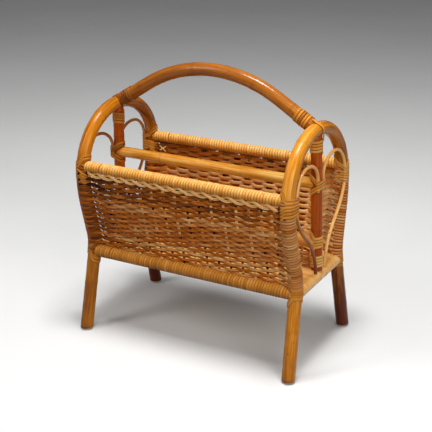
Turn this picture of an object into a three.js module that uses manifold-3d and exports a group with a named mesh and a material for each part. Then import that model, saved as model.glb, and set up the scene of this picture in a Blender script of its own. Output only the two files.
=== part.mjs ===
// A magazine basket of lashed rattan poles: two arched end frames on splayed legs, a bowed handle between
// their crests, wrapped side rails that carry woven panels, and a base board under two open compartments.
// Millimetres, +Z up, +X along the basket, -Y to the front; the origin is under its middle, on the floor.
import * as THREE from 'three';
import { mergeVertices } from 'three/addons/utils/BufferGeometryUtils.js';
import Module from 'manifold-3d';

const wasm = await Module();
wasm.setup();

// Heights of the side rails, which the other heights follow
const bottom_rail_height = 154;
const top_rail_height = 329;

// End arches: one thick pole each, leaning in a little, drawn in at a waist and swelling to round shoulders.
// A bend's reach is the length of pole from its corner to where it starts.
const pole_diameter = 24;
const foot_half_length = 216;
const crest_half_length = 203.3;
const foot_half_width = 122.6;
const waist_half_width = 84.5;
const shoulder_half_width = 114.2;
const waist_rise = 18.2;
const shoulder_share = 0.702;
const crest_rise = 93.9;
const waist_bend_reach = 20.6;
const shoulder_bend_reach = 35.4;

// Handle: two straight arms that would meet at the peak, joined by one wide bend
const handle_peak_rise = 125.1;
const handle_bend_reach = 155;

// Base board: one plank with fully rounded ends, on a level with the bottom rails
const board_thickness = 24;

// Posts between the base board and the crests, and the two smooth rails between the posts
const post_diameter = 20;
const upper_rail_diameter = 20;
const upper_rail_drop = 3;
const lower_rail_diameter = 24;

// Side rails: thinner poles under a close wrap of split cane
const top_rail_diameter = 17.5;
const bottom_rail_diameter = 21;
const rail_wrap_thickness = 1.2;

// Woven work: side panels of weft rows on upright stakes, whose weft also winds round the legs, a plait along
// their tops, and a low divider
const weave_thickness = 5.7;
const stake_thickness = 1.6;
const stake_count = 16;
const weft_row_count = 28;
const weft_wrap_thickness = 2.7;
const plait_height = 8.7;
const plait_thickness = 7;
const divider_thickness = 5;
const divider_height = 40;

// Scroll reeds: one in each quarter of the ends, from the foot of the post out to the leg and back in a loop
const reed_diameter = 6;
const reed_foot_half_width = 17.5;
const reed_foot_stand_off = 6;
const reed_loop_rise = 43;
const reed_leg_seat_angle = THREE.MathUtils.degToRad(42);
const reed_post_seat_angle = THREE.MathUtils.degToRad(35);
const reed_foot_pull_shares = [0.056, 0.6];
const reed_leg_pull_shares = [0.72, 0.56];
const reed_loop_side_pull_share = 0.4;
const reed_loop_top_pull_share = 0.65;

// Lashings of flat split cane over every joint. A strand passes a rail at a share of the rail's radius, and
// some of the turns at a leg pass under the rail.
const strand_width = 4.6;
const strand_thickness = 1.3;
const strand_gap = 0.7;
const strand_crossing_share = 1.08;
const handle_lashing_turns = 5;
const post_top_lashing_turns = 4.5;
const post_top_lashing_drop = 28.9;
const post_foot_lashing_turns = 4;
const post_foot_lashing_rise = 3;
const centre_lashing_turns = 4;
const top_lashing_turns = 6;
const top_lashing_turns_under = 4;
const top_lashing_drop = 10;
const bottom_lashing_turns = 4;
const bottom_lashing_turns_under = 2;

// Foot glides: round pads under the legs
const glide_diameter = 21;
const glide_height = 4;
const glide_edge = 0.8;

// Clearance between pieces that touch, and the length by which a cutter overruns what it cuts
const seat_gap = 0.3;
const cutter_overrun = 20;

// Butt joints: a pole ends this share of the other pole's radius short of its axis, coped to fit round it
const butt_share = 0.5;

// Facets: sides of a pole, steps along it, steps in each turn of a strand, and how flat is one plane
const pole_sides = 12;
const reed_sides = 6;
const arch_steps = 48;
const handle_steps = 24;
const reed_steps = 40;
const profile_steps = 10;
const strand_steps = 10;
const glide_sides = 12;
const flat_tolerance = 0.001;

const pole_radius = pole_diameter / 2;
const post_radius = post_diameter / 2;
const upper_rail_radius = upper_rail_diameter / 2;
const lower_rail_radius = lower_rail_diameter / 2;
const reed_radius = reed_diameter / 2;
const board_radius = board_thickness / 2;
const top_wrap_radius = top_rail_diameter / 2 + seat_gap + rail_wrap_thickness;
const bottom_wrap_radius = bottom_rail_diameter / 2 + seat_gap + rail_wrap_thickness;

const waist_height = bottom_rail_height + waist_rise;
const shoulder_height = THREE.MathUtils.lerp(waist_height, top_rail_height, shoulder_share);
const crest_height = top_rail_height + crest_rise;
const handle_peak_height = crest_height + handle_peak_rise;
const board_top = bottom_rail_height + board_radius;
const upper_rail_height = top_rail_height - upper_rail_drop;
const lower_rail_height = board_top + divider_height + lower_rail_radius;

// How far a lashing reaches each way from its middle, and from a rail on the side where turns pass it
const strand_pitch = strand_width + strand_gap;

function lashingReach(turns) {
  return strand_pitch * turns / 2 + strand_width / 2;
}

function crossingReach(rail_radius, turns) {
  return strand_crossing_share * (rail_radius + seat_gap) + strand_pitch * (turns - 1) + strand_width;
}

const top_lashing_height = top_rail_height - top_lashing_drop;
const post_top_lashing_height = crest_height - post_top_lashing_drop;
const post_foot_lashing_height = board_top + post_foot_lashing_rise + lashingReach(post_foot_lashing_turns);
const weft_wrap_top = top_rail_height
  - crossingReach(top_wrap_radius, top_lashing_turns_under) - strand_gap;
const weft_wrap_bottom = bottom_rail_height
  + crossingReach(bottom_wrap_radius, bottom_lashing_turns - bottom_lashing_turns_under) + strand_gap;
const reed_leg_meeting_height = top_lashing_height - lashingReach(top_lashing_turns);
const reed_leg_parting_height = top_lashing_height + lashingReach(top_lashing_turns);
const reed_loop_top_height = top_rail_height + reed_loop_rise;
const reed_loop_landing_height = upper_rail_height + lashingReach(centre_lashing_turns) + seat_gap;
const reed_tail_height = upper_rail_height - strand_pitch * centre_lashing_turns / 2;

// Solids and booleans
function closedMesh(geometry) {
  const bare = geometry.clone();
  bare.deleteAttribute('normal');
  bare.deleteAttribute('uv');
  return mergeVertices(bare);
}

function solidOf(geometry) {
  const mesh = closedMesh(geometry);
  return new wasm.Manifold(new wasm.Mesh({
    numProp: 3,
    vertProperties: new Float32Array(mesh.attributes.position.array),
    triVerts: new Uint32Array(mesh.index.array),
  }));
}

// The solid's triangles, with those that lie in one plane made as few as they can be
function geometryOf(solid) {
  const mesh = solid.asOriginal().simplify(flat_tolerance).getMesh();
  const geometry = new THREE.BufferGeometry();
  geometry.setAttribute('position', new THREE.BufferAttribute(new Float32Array(mesh.vertProperties), 3));
  geometry.setIndex(new THREE.BufferAttribute(new Uint32Array(mesh.triVerts), 1));
  return geometry;
}

function cut(solid, ...cutters) {
  return cutters.reduce((left, cutter) => left.subtract(cutter), solid);
}

// Everything between two heights, far wider than the basket
const cutter_half_length = foot_half_length + crest_half_length;

function layer(bottom, top) {
  const box = new THREE.BoxGeometry(2 * cutter_half_length, 2 * cutter_half_length, top - bottom);
  box.translate(0, 0, (bottom + top) / 2);
  return solidOf(box);
}

// The same piece in another quarter: mirrored in x, in y or in both, with its faces turned out again
function mirrored(geometry, x_side, y_side) {
  const copy = closedMesh(geometry);
  copy.scale(x_side, y_side, 1);
  if (x_side * y_side < 0) {
    const index = copy.index.array;
    for (let i = 0; i < index.length; i += 3) {
      [index[i + 1], index[i + 2]] = [index[i + 2], index[i + 1]];
    }
  }
  return copy;
}

// Poles: a round section carried along a curve, or a tube with a bore
function pole(curve, radius, steps, { bore = 0, sides = pole_sides } = {}) {
  const section = new THREE.Shape();
  section.absarc(0, 0, radius, 0, 2 * Math.PI, false);
  if (bore > 0) {
    const hole = new THREE.Path();
    hole.absarc(0, 0, bore, 0, 2 * Math.PI, true);
    section.holes.push(hole);
  }
  return new THREE.ExtrudeGeometry(section, {
    extrudePath: curve,
    steps,
    curveSegments: sides / 2,
    bevelEnabled: false,
  });
}

function poleSolid(curve, radius, steps, options) {
  return solidOf(pole(curve, radius, steps, options));
}

// A cutter round a pole whose flat sides, too, stay clear by the given radius
function clearanceRound(curve, radius, steps) {
  return poleSolid(curve, radius / Math.cos(Math.PI / pole_sides), steps);
}

// Takes an outline on through corners, each rounded by an arc of its own reach, to the end point
function roundCorners(outline, corners, end) {
  corners.forEach(({ at, reach }, i) => {
    const before = i === 0 ? outline.currentPoint.clone() : corners[i - 1].at;
    const after = i === corners.length - 1 ? end : corners[i + 1].at;
    const inward = at.clone().sub(before).normalize();
    const onward = after.clone().sub(at).normalize();
    const turn = Math.atan2(inward.cross(onward), inward.dot(onward));
    const radius = reach / Math.tan(Math.abs(turn) / 2);
    const start = at.clone().addScaledVector(inward, -reach);
    const finish = at.clone().addScaledVector(onward, reach);
    const to_centre = new THREE.Vector2(-inward.y, inward.x).multiplyScalar(Math.sign(turn) * radius);
    const centre = start.clone().add(to_centre);
    const start_angle = start.clone().sub(centre).angle();
    const finish_angle = finish.clone().sub(centre).angle();
    outline.lineTo(start.x, start.y);
    outline.absarc(centre.x, centre.y, radius, start_angle, finish_angle, turn < 0);
  });
  outline.lineTo(end.x, end.y);
}

// The end arch in its own plane, as (y, z): up the front leg, over an elliptic crown and down the back leg
const crown_base_height = shoulder_height + shoulder_bend_reach;
const crown_rise = crest_height - crown_base_height;
const leg_slope = (foot_half_width - waist_half_width) / waist_height;

function archOutline() {
  const bend = (half_width, height, reach) => ({ at: new THREE.Vector2(half_width, height), reach });
  const legPoints = (side) => ({
    foot: new THREE.Vector2(side * (foot_half_width + leg_slope * pole_radius), -pole_radius),
    waist: bend(side * waist_half_width, waist_height, waist_bend_reach),
    shoulder: bend(side * shoulder_half_width, shoulder_height, shoulder_bend_reach),
    crown_start: new THREE.Vector2(side * shoulder_half_width, crown_base_height),
  });
  const front = legPoints(-1);
  const back = legPoints(1);
  const outline = new THREE.Path();
  outline.moveTo(front.foot.x, front.foot.y);
  roundCorners(outline, [front.waist, front.shoulder], front.crown_start);
  outline.absellipse(0, crown_base_height, shoulder_half_width, crown_rise, Math.PI, 0, true);
  roundCorners(outline, [back.shoulder, back.waist], back.foot);
  return outline;
}

const arch_outline = archOutline();

// Half the width of the arch at a height, on its axis
function legHalfWidth(height) {
  let low = 0;
  let high = 0.5;
  for (let halving = 0; halving < 40; halving++) {
    const middle = (low + high) / 2;
    if (arch_outline.getPoint(middle).y < height) low = middle;
    else high = middle;
  }
  return -arch_outline.getPoint(low).x;
}

// How fast the leg spreads with height
function legSpread(height) {
  const probe = seat_gap;
  return (legHalfWidth(height + probe) - legHalfWidth(height - probe)) / (2 * probe);
}

// The right end's leaning plane, and points on it or standing out from it
function endX(height) {
  return foot_half_length - (foot_half_length - crest_half_length) * height / crest_height;
}

function onEnd(y, z, stand_off = 0) {
  return new THREE.Vector3(endX(z) + stand_off, y, z);
}

// What is left of a solid between the two end planes
function betweenEnds(solid) {
  return [1, -1].reduce((left, side) => {
    const inward = onEnd(0, crest_height).sub(onEnd(0, 0));
    inward.set(-inward.z, 0, inward.x).normalize().multiply(new THREE.Vector3(side, 1, 1));
    return left.trimByPlane(inward.toArray(), side * foot_half_length * inward.x);
  }, solid);
}

class EndPlaneCurve extends THREE.Curve {
  getPoint(t) {
    const flat = arch_outline.getPoint(t);
    return onEnd(flat.x, flat.y);
  }
}

class HandleCurve extends THREE.Curve {
  constructor() {
    super();
    const rise = handle_peak_height - crest_height;
    const arm = Math.hypot(crest_half_length, rise);
    const end_share = 1 - pole_radius * butt_share / arm;
    const end_x = crest_half_length * end_share;
    const end_z = handle_peak_height - rise * end_share;
    this.outline = new THREE.Path();
    this.outline.moveTo(-end_x, end_z);
    roundCorners(this.outline,
      [{ at: new THREE.Vector2(0, handle_peak_height), reach: handle_bend_reach }],
      new THREE.Vector2(end_x, end_z));
  }

  getPoint(t) {
    const flat = this.outline.getPoint(t);
    return new THREE.Vector3(flat.x, 0, flat.y);
  }
}

const arch_curve = new EndPlaneCurve();
const handle_curve = new HandleCurve();

function acrossBasket(y, height, half_length) {
  const end = new THREE.Vector3(half_length, y, height);
  return new THREE.LineCurve3(end.clone().setX(-half_length), end);
}

// What the other pieces are coped to or cut clear of
const arch_seat_right = poleSolid(arch_curve, pole_radius + seat_gap, arch_steps);
const arch_seats = [arch_seat_right, arch_seat_right.mirror([1, 0, 0])];

const strand_corner = 1 / Math.cos(Math.PI / strand_steps);
const lashed_pole_radius = (pole_radius + seat_gap + strand_thickness) * strand_corner + seat_gap;
const lashed_post_radius = (post_radius + seat_gap + strand_thickness) * strand_corner + seat_gap;
const lashed_arch_right = clearanceRound(arch_curve, lashed_pole_radius, arch_steps);
const lashed_arches = [lashed_arch_right, lashed_arch_right.mirror([1, 0, 0])];

// End arches, cut level over their glides
function endArch() {
  return cut(poleSolid(arch_curve, pole_radius, arch_steps),
    layer(-pole_diameter - cutter_overrun, glide_height + seat_gap));
}

// Handle, coped round the crests
function handle() {
  return cut(poleSolid(handle_curve, pole_radius, handle_steps), ...arch_seats);
}

// Base board
function board(half_length, half_width, radius) {
  const outline = new THREE.Shape();
  outline.absarc(half_length, 0, radius, -Math.PI / 2, Math.PI / 2, false);
  outline.absarc(-half_length, 0, radius, Math.PI / 2, 3 * Math.PI / 2, false);
  const slab = new THREE.ExtrudeGeometry(outline, {
    depth: 2 * half_width,
    curveSegments: pole_sides / 2,
    bevelEnabled: false,
  });
  slab.rotateX(Math.PI / 2);
  slab.translate(0, half_width, bottom_rail_height);
  return solidOf(slab);
}

const bottom_rail_y = legHalfWidth(bottom_rail_height);
const board_half_length = endX(bottom_rail_height);
const board_half_width = bottom_rail_y - bottom_wrap_radius * butt_share;

function baseBoard() {
  const rail_seats = [-1, 1].map((side) => clearanceRound(
    acrossBasket(side * bottom_rail_y, bottom_rail_height, cutter_half_length),
    bottom_wrap_radius + seat_gap, 1));
  return cut(board(board_half_length, board_half_width, board_radius), ...rail_seats, ...lashed_arches);
}

const board_seat = board(board_half_length, board_half_width, board_radius + seat_gap);

// Posts, coped under the crests and over the rounded ends of the board
const post_curve = new THREE.LineCurve3(
  onEnd(0, bottom_rail_height), onEnd(0, crest_height - pole_radius * butt_share));

function post() {
  return cut(poleSolid(post_curve, post_radius, 1), arch_seat_right, board_seat);
}

// Centre rails, coped between the posts
const post_seat_right = poleSolid(post_curve, post_radius + seat_gap, 1);
const post_seats = [post_seat_right, post_seat_right.mirror([1, 0, 0])];

function centreRail(height, radius) {
  const half_length = endX(height) - post_radius * butt_share;
  return cut(poleSolid(acrossBasket(0, height, half_length), radius, 1), ...post_seats);
}

// The front right scroll reed: up from the board beside the post, along the leg, over and down the post
const reed_leg_reach = pole_radius + seat_gap + reed_radius;
const reed_post_reach = post_radius + seat_gap + reed_radius;
const reed_on_leg = new THREE.Vector2(Math.sin(reed_leg_seat_angle), Math.cos(reed_leg_seat_angle))
  .multiplyScalar(reed_leg_reach);
const reed_on_post = new THREE.Vector2(Math.sin(reed_post_seat_angle), -Math.cos(reed_post_seat_angle))
  .multiplyScalar(reed_post_reach);

function besideLeg(height) {
  const inward = new THREE.Vector2(1, legSpread(height)).setLength(reed_on_leg.y);
  return onEnd(inward.x - legHalfWidth(height), height + inward.y, reed_on_leg.x);
}

class AlongLegCurve extends THREE.Curve {
  getPoint(t) {
    return besideLeg(THREE.MathUtils.lerp(reed_leg_meeting_height, reed_leg_parting_height, t));
  }
}

function reedCurve() {
  const along_leg = new AlongLegCurve();
  const foot = onEnd(-reed_foot_half_width, bottom_rail_height, reed_foot_stand_off);
  const meeting = along_leg.getPoint(0);
  const parting = along_leg.getPoint(1);
  const landing = onEnd(reed_on_post.y, reed_loop_landing_height, reed_on_post.x);
  const tail = onEnd(reed_on_post.y, reed_tail_height, reed_on_post.x);
  const top = onEnd((parting.y + landing.y) / 2, reed_loop_top_height, (reed_on_leg.x + reed_on_post.x) / 2);
  const pulled = (shares) => new THREE.Vector3(
    THREE.MathUtils.lerp(foot.x, meeting.x, shares[1]),
    THREE.MathUtils.lerp(foot.y, meeting.y, shares[0]),
    THREE.MathUtils.lerp(foot.z, meeting.z, shares[1]));
  const onward = (from, heading) => heading.setLength(reed_loop_side_pull_share * (top.z - from.z)).add(from);
  const beforeTop = (from) => top.clone().setY(THREE.MathUtils.lerp(top.y, from.y, reed_loop_top_pull_share));
  const curve = new THREE.CurvePath();
  curve.add(new THREE.CubicBezierCurve3(
    foot, pulled(reed_foot_pull_shares), pulled(reed_leg_pull_shares), meeting));
  curve.add(along_leg);
  curve.add(new THREE.CubicBezierCurve3(
    parting, onward(parting, along_leg.getTangent(1)), beforeTop(parting), top));
  curve.add(new THREE.CubicBezierCurve3(
    top, beforeTop(landing), onward(landing, landing.clone().sub(tail)), landing));
  curve.add(new THREE.LineCurve3(landing, tail));
  return curve;
}

const reed_curve = reedCurve();
const reed_seat_right = poleSolid(reed_curve, reed_radius + seat_gap, reed_steps, { sides: reed_sides });

function scrollReed() {
  return cut(poleSolid(reed_curve, reed_radius, reed_steps, { sides: reed_sides }), board_seat);
}

// Side rails and their wraps, coped between the legs; these are the front ones
const top_rail_y = legHalfWidth(top_rail_height);

function sideRail(y, height, radius, bore = 0) {
  const half_length = endX(height) - pole_radius * butt_share;
  return cut(poleSolid(acrossBasket(-y, height, half_length), radius, 1, { bore }), ...arch_seats);
}

// A level-edged sheet that follows the sweep of the front legs
function sheet(bottom, top, thickness) {
  const near = [];
  const far = [];
  for (let step = 0; step <= profile_steps; step++) {
    const height = bottom + (top - bottom) * step / profile_steps;
    const across = new THREE.Vector2(1, legSpread(height)).setLength(thickness / 2);
    const middle = new THREE.Vector2(-legHalfWidth(height), height);
    near.push(middle.clone().sub(across));
    far.push(middle.clone().add(across));
  }
  const slab = new THREE.ExtrudeGeometry(new THREE.Shape([...far, ...near.reverse()]), {
    depth: 2 * cutter_half_length,
    bevelEnabled: false,
  });
  slab.translate(0, 0, -cutter_half_length);
  slab.applyMatrix4(new THREE.Matrix4().makeBasis(
    new THREE.Vector3(0, 1, 0), new THREE.Vector3(0, 0, 1), new THREE.Vector3(1, 0, 0)));
  return betweenEnds(solidOf(slab));
}

const plait_bottom = top_rail_height - top_wrap_radius - plait_height;
const top_rail_seat = clearanceRound(
  acrossBasket(-top_rail_y, top_rail_height, cutter_half_length), top_wrap_radius + seat_gap, 1);
const bottom_rail_seat = clearanceRound(
  acrossBasket(-bottom_rail_y, bottom_rail_height, cutter_half_length), bottom_wrap_radius + seat_gap, 1);

// The front panel's weave, which follows the sweep too. Row by row the weft passes before one stake and
// behind the next: each crossing stands out on one face as a low pyramid, and leaves the other face level with
// the stake. Both faces are nets whose corners are the crossings.
const stake_pitch = 2 * endX(top_rail_height) / (stake_count + 1);
const weft_row_bottom = bottom_rail_height + bottom_wrap_radius;
const weft_row_pitch = (plait_bottom - weft_row_bottom) / weft_row_count;
const weave_end_inset = pole_radius + seat_gap + weft_wrap_thickness / 2;

function wovenSheet() {
  const stakes = Array.from({ length: stake_count }, (_, i) => stake_pitch * (i - (stake_count - 1) / 2));
  const rows = Array.from({ length: weft_row_count }, (_, i) => weft_row_bottom + weft_row_pitch * (i + 0.5));
  const heights = [bottom_rail_height, ...rows, plait_bottom - seat_gap];
  const last_row = weft_row_count + 1;
  const last_column = stake_count + 1;
  const side = (row, column) => ((row + column) % 2 === 0 ? 1 : -1);
  const positions = [];
  for (const face of [1, -1]) {
    heights.forEach((height, row) => {
      const end = endX(height) - weave_end_inset;
      [-end, ...stakes, end].forEach((x, column) => {
        const at_edge = row === 0 || row === last_row || column === 0 || column === last_column;
        const thickness = !at_edge && side(row, column) === face ? weave_thickness : stake_thickness;
        const out = new THREE.Vector2(-face, -face * legSpread(height)).setLength(thickness / 2);
        positions.push(x, out.x - legHalfWidth(height), height + out.y);
      });
    });
  }
  const index = [];
  const quad = (a, b, c, d) => index.push(a, b, c, a, c, d);
  const outer = (row, column) => row * (last_column + 1) + column;
  const inner = (row, column) => outer(last_row + 1 + row, column);
  for (let row = 0; row < last_row; row++) {
    for (let column = 0; column < last_column; column++) {
      const corners = [[row, column], [row, column + 1], [row + 1, column + 1], [row + 1, column]];
      if (side(row, column) > 0) corners.push(corners.shift());
      quad(...corners.map((corner) => outer(...corner)));
      quad(...corners.map((corner) => inner(...corner)).reverse());
    }
  }
  const rim = (from, to) => quad(outer(...from), outer(...to), inner(...to), inner(...from));
  for (let row = 0; row < last_row; row++) {
    rim([row, 0], [row + 1, 0]);
    rim([row + 1, last_column], [row, last_column]);
  }
  for (let column = 0; column < last_column; column++) {
    rim([0, column + 1], [0, column]);
    rim([last_row, column], [last_row, column + 1]);
  }
  const geometry = new THREE.BufferGeometry();
  geometry.setAttribute('position', new THREE.Float32BufferAttribute(positions, 3));
  geometry.setIndex(index);
  return solidOf(geometry);
}

// The weft's winding round a front leg: a sleeve, taken with the panel as one piece of weaving
function weftWraps() {
  const front_half = new THREE.BoxGeometry(
    2 * cutter_half_length, cutter_half_length, weft_wrap_top - weft_wrap_bottom);
  front_half.translate(0, -cutter_half_length / 2, (weft_wrap_top + weft_wrap_bottom) / 2);
  const sleeve = poleSolid(arch_curve, pole_radius + seat_gap + weft_wrap_thickness, arch_steps)
    .intersect(solidOf(front_half))
    .subtract(arch_seat_right)
    .subtract(reed_seat_right);
  return sleeve.add(sleeve.mirror([1, 0, 0]));
}

function sidePanel() {
  const above_wrap = layer(weft_wrap_top, crest_height);
  const below_wrap = layer(-cutter_overrun, weft_wrap_bottom);
  const lashed = lashed_arches.flatMap((arch) => [arch.intersect(above_wrap), arch.intersect(below_wrap)]);
  return cut(wovenSheet(), ...lashed, bottom_rail_seat).add(weftWraps());
}

function plait() {
  return cut(sheet(plait_bottom, top_rail_height, plait_thickness), ...lashed_arches, top_rail_seat);
}

// The low woven divider under the lower centre rail
function dividerPanel() {
  const bottom = board_top + seat_gap;
  const half_length = endX(bottom) - lashed_post_radius;
  const box = new THREE.BoxGeometry(2 * half_length, divider_thickness, lower_rail_height - bottom);
  box.translate(0, 0, (lower_rail_height + bottom) / 2);
  const rail_seat = clearanceRound(
    acrossBasket(0, lower_rail_height, cutter_half_length), lower_rail_radius + seat_gap, 1);
  const posts = [1, -1].map((side) => {
    const clear = clearanceRound(post_curve, lashed_post_radius, 1);
    return side > 0 ? clear : clear.mirror([1, 0, 0]);
  });
  return cut(solidOf(box), rail_seat, ...posts);
}

// A pole's faceted axis, which strands follow: a point, the way along, and the length to a height
class PoleLine {
  constructor(curve, steps) {
    this.points = curve.getSpacedPoints(steps);
    this.tangents = this.points.map((_, i) => curve.getTangentAt(i / steps));
    this.lengths = [0];
    for (let i = 1; i < this.points.length; i++) {
      this.lengths.push(this.lengths[i - 1] + this.points[i].distanceTo(this.points[i - 1]));
    }
  }

  at(length) {
    let i = this.lengths.findIndex((end, k) => k > 0 && end >= length);
    if (i < 0) i = this.lengths.length - 1;
    const share = (length - this.lengths[i - 1]) / (this.lengths[i] - this.lengths[i - 1]);
    return {
      point: this.points[i - 1].clone().lerp(this.points[i], share),
      along: this.tangents[i - 1].clone().lerp(this.tangents[i], share).normalize(),
    };
  }

  lengthAtHeight(height) {
    const i = this.points.findIndex((point, k) => k > 0 && point.z >= height);
    const share = (height - this.points[i - 1].z) / (this.points[i].z - this.points[i - 1].z);
    return THREE.MathUtils.lerp(this.lengths[i - 1], this.lengths[i], share);
  }

  get length() {
    return this.lengths.at(-1);
  }
}

// Corners of a loop drawn tight round circles: where tangent lines at equal turns meet
function girdle(circles, clearance) {
  const turn = 2 * Math.PI / strand_steps;
  const reach = (angle) => clearance + Math.max(...circles.map(
    ({ x, y, radius }) => x * Math.cos(angle) + y * Math.sin(angle) + radius));
  return Array.from({ length: strand_steps }, (_, k) => {
    const before = (k - 0.5) * turn;
    const after = (k + 0.5) * turn;
    const near = reach(before);
    const far = reach(after);
    return new THREE.Vector2(
      (near * Math.sin(after) - far * Math.sin(before)) / Math.sin(turn),
      (far * Math.cos(before) - near * Math.cos(after)) / Math.sin(turn));
  });
}

// How far the strand's middle keeps from the axis of a rail that it passes, at a distance to its side
function crossingRise(crossing, sideways) {
  const radius = strand_crossing_share * (crossing.radius + seat_gap);
  const beside = Math.max(0, Math.abs(sideways) - strand_width / 2);
  return Math.sqrt(Math.max(0, radius ** 2 - beside ** 2)) + strand_width / 2;
}

// A lashing: one flat strand wound round a pole and what is bound to it. Where a rail butts against the
// pole, the first turns pass under the rail and the others over it, and fan out beside it.
function lashing(name, { line, middle, outward, circles, turns, crossing }) {
  const inner = girdle(circles, seat_gap);
  const outer = girdle(circles, seat_gap + strand_thickness);
  const positions = [];
  const index = [];
  const steps = Math.round(turns * strand_steps);
  for (let step = 0; step <= steps; step++) {
    const k = step % strand_steps;
    let height = strand_pitch * (step / strand_steps - turns / 2);
    const facing_rail = k > strand_steps / 6 && k < strand_steps * 5 / 6;
    if (crossing && facing_rail) {
      const turn = Math.floor(step / strand_steps);
      const rise = crossingRise(crossing, inner[k].y);
      const over = crossing.offset + rise + strand_pitch * (turn - crossing.under);
      const under = crossing.offset - rise - strand_pitch * (crossing.under - 1 - turn);
      height = turn < crossing.under ? Math.min(height, under) : Math.max(height, over);
    }
    const corner = (flat, lift) => {
      const { point, along } = line.at(middle + height + lift);
      const out = outward.clone().addScaledVector(along, -outward.dot(along)).normalize();
      const side = along.clone().cross(out);
      return point.addScaledVector(out, flat.x).addScaledVector(side, flat.y);
    };
    const half = strand_width / 2;
    [[inner, -half], [outer, -half], [outer, half], [inner, half]].forEach(
      ([loop, lift]) => positions.push(...corner(loop[k], lift).toArray()));
  }
  for (let step = 0; step < steps; step++) {
    for (let edge = 0; edge < 4; edge++) {
      const a = 4 * step + edge;
      const b = 4 * step + (edge + 1) % 4;
      index.push(a, b + 4, b, a, a + 4, b + 4);
    }
  }
  const last = 4 * steps;
  index.push(0, 1, 2, 0, 2, 3);
  index.push(last, last + 2, last + 1, last, last + 3, last + 2);
  const geometry = new THREE.BufferGeometry();
  geometry.setAttribute('position', new THREE.Float32BufferAttribute(positions, 3));
  geometry.setIndex(index);
  console.log(`${name}: least gap between its turns ${leastGap(positions, steps).toFixed(2)} mm`);
  return geometry;
}

// Least gap between one turn and the next, measured on points spaced along the facing edges of the strand
function leastGap(positions, steps) {
  const samples = 4;
  const edge = (corner) => {
    const points = [];
    for (let i = 0; i < steps * samples; i++) {
      const step = Math.floor(i / samples);
      const from = new THREE.Vector3().fromArray(positions, 3 * (4 * step + corner));
      const to = new THREE.Vector3().fromArray(positions, 3 * (4 * step + 4 + corner));
      points.push(from.lerp(to, (i % samples) / samples));
    }
    return points;
  };
  let least = Infinity;
  for (const [upper, lower] of [[3, 0], [2, 1]]) {
    const tops = edge(upper);
    const bottoms = edge(lower);
    tops.forEach((top, i) => {
      for (let j = i + strand_steps * samples / 2; j < bottoms.length; j++) {
        least = Math.min(least, top.distanceTo(bottoms[j]));
      }
    });
  }
  return least;
}

const arch_line = new PoleLine(arch_curve, arch_steps);
const post_line = new PoleLine(post_curve, 1);
const handle_line = new PoleLine(handle_curve, handle_steps);
const to_the_right = new THREE.Vector3(1, 0, 0);
const upward = new THREE.Vector3(0, 0, 1);
const pole_circle = { x: 0, y: 0, radius: pole_radius };
const post_circle = { x: 0, y: 0, radius: post_radius };

function handleLashing() {
  const clear_of_crest = pole_radius + seat_gap + strand_width / 2 - pole_radius * butt_share;
  const half_span = strand_pitch * handle_lashing_turns / 2;
  return lashing('handle lashing', {
    line: handle_line,
    middle: handle_line.length - clear_of_crest - half_span - seat_gap,
    outward: upward,
    circles: [pole_circle],
    turns: handle_lashing_turns,
  });
}

function postLashing(name, height, turns) {
  return lashing(name, {
    line: post_line,
    middle: post_line.lengthAtHeight(height),
    outward: to_the_right,
    circles: [post_circle],
    turns,
  });
}

function centreLashing(name, rail_height, rail_radius, circles) {
  return lashing(name, {
    line: post_line,
    middle: post_line.lengthAtHeight(rail_height),
    outward: to_the_right,
    circles: [post_circle, ...circles],
    turns: centre_lashing_turns,
    crossing: { radius: rail_radius, offset: 0, under: centre_lashing_turns / 2 },
  });
}

function legLashing(name, height, rail_height, rail_radius, circles, turns, under) {
  const middle = arch_line.lengthAtHeight(height);
  return lashing(name, {
    line: arch_line,
    middle,
    outward: to_the_right,
    circles: [pole_circle, ...circles],
    turns,
    crossing: { radius: rail_radius, offset: arch_line.lengthAtHeight(rail_height) - middle, under },
  });
}

// Foot glide under the front right leg
function footGlide() {
  const radius = glide_diameter / 2;
  const profile = [
    new THREE.Vector2(0, 0),
    new THREE.Vector2(radius - glide_edge, 0),
    new THREE.Vector2(radius, glide_edge),
    new THREE.Vector2(radius, glide_height),
    new THREE.Vector2(0, glide_height),
  ];
  const glide = new THREE.LatheGeometry(profile, glide_sides);
  glide.rotateX(Math.PI / 2);
  glide.translate(endX(glide_height), -legHalfWidth(glide_height), 0);
  return glide;
}

// Materials
const pole_finish = new THREE.MeshStandardMaterial({ color: 0xb5651d, roughness: 0.35, metalness: 0 });
const cane_wrap = new THREE.MeshStandardMaterial({ color: 0xd9a24e, roughness: 0.4, metalness: 0 });
const weave = new THREE.MeshStandardMaterial({ color: 0x9a5a28, roughness: 0.55, metalness: 0 });
const straw = new THREE.MeshStandardMaterial({ color: 0xd8b57a, roughness: 0.5, metalness: 0 });
const lashing_cane = new THREE.MeshStandardMaterial({ color: 0xc98a3a, roughness: 0.4, metalness: 0 });
const board_finish = new THREE.MeshStandardMaterial({ color: 0xc98b45, roughness: 0.35, metalness: 0 });
const glide_plastic = new THREE.MeshStandardMaterial({ color: 0xd8d2c4, roughness: 0.5, metalness: 0 });

// Assembly
const group = new THREE.Group();
const ends = [['left', -1], ['right', 1]];
const faces = [['front', 1], ['back', -1]];

function add(name, geometry, material) {
  const mesh = new THREE.Mesh(geometry, material);
  mesh.name = name;
  group.add(mesh);
}

function addEnds(name, geometry, material) {
  for (const [end, x_side] of ends) add(`${name}_${end}`, mirrored(geometry, x_side, 1), material);
}

function addFaces(name, geometry, material) {
  for (const [face, y_side] of faces) add(`${name}_${face}`, mirrored(geometry, 1, y_side), material);
}

function addQuarters(name, geometry, material) {
  for (const [face, y_side] of faces) {
    for (const [end, x_side] of ends) {
      add(`${name}_${face}_${end}`, mirrored(geometry, x_side, y_side), material);
    }
  }
}

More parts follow.
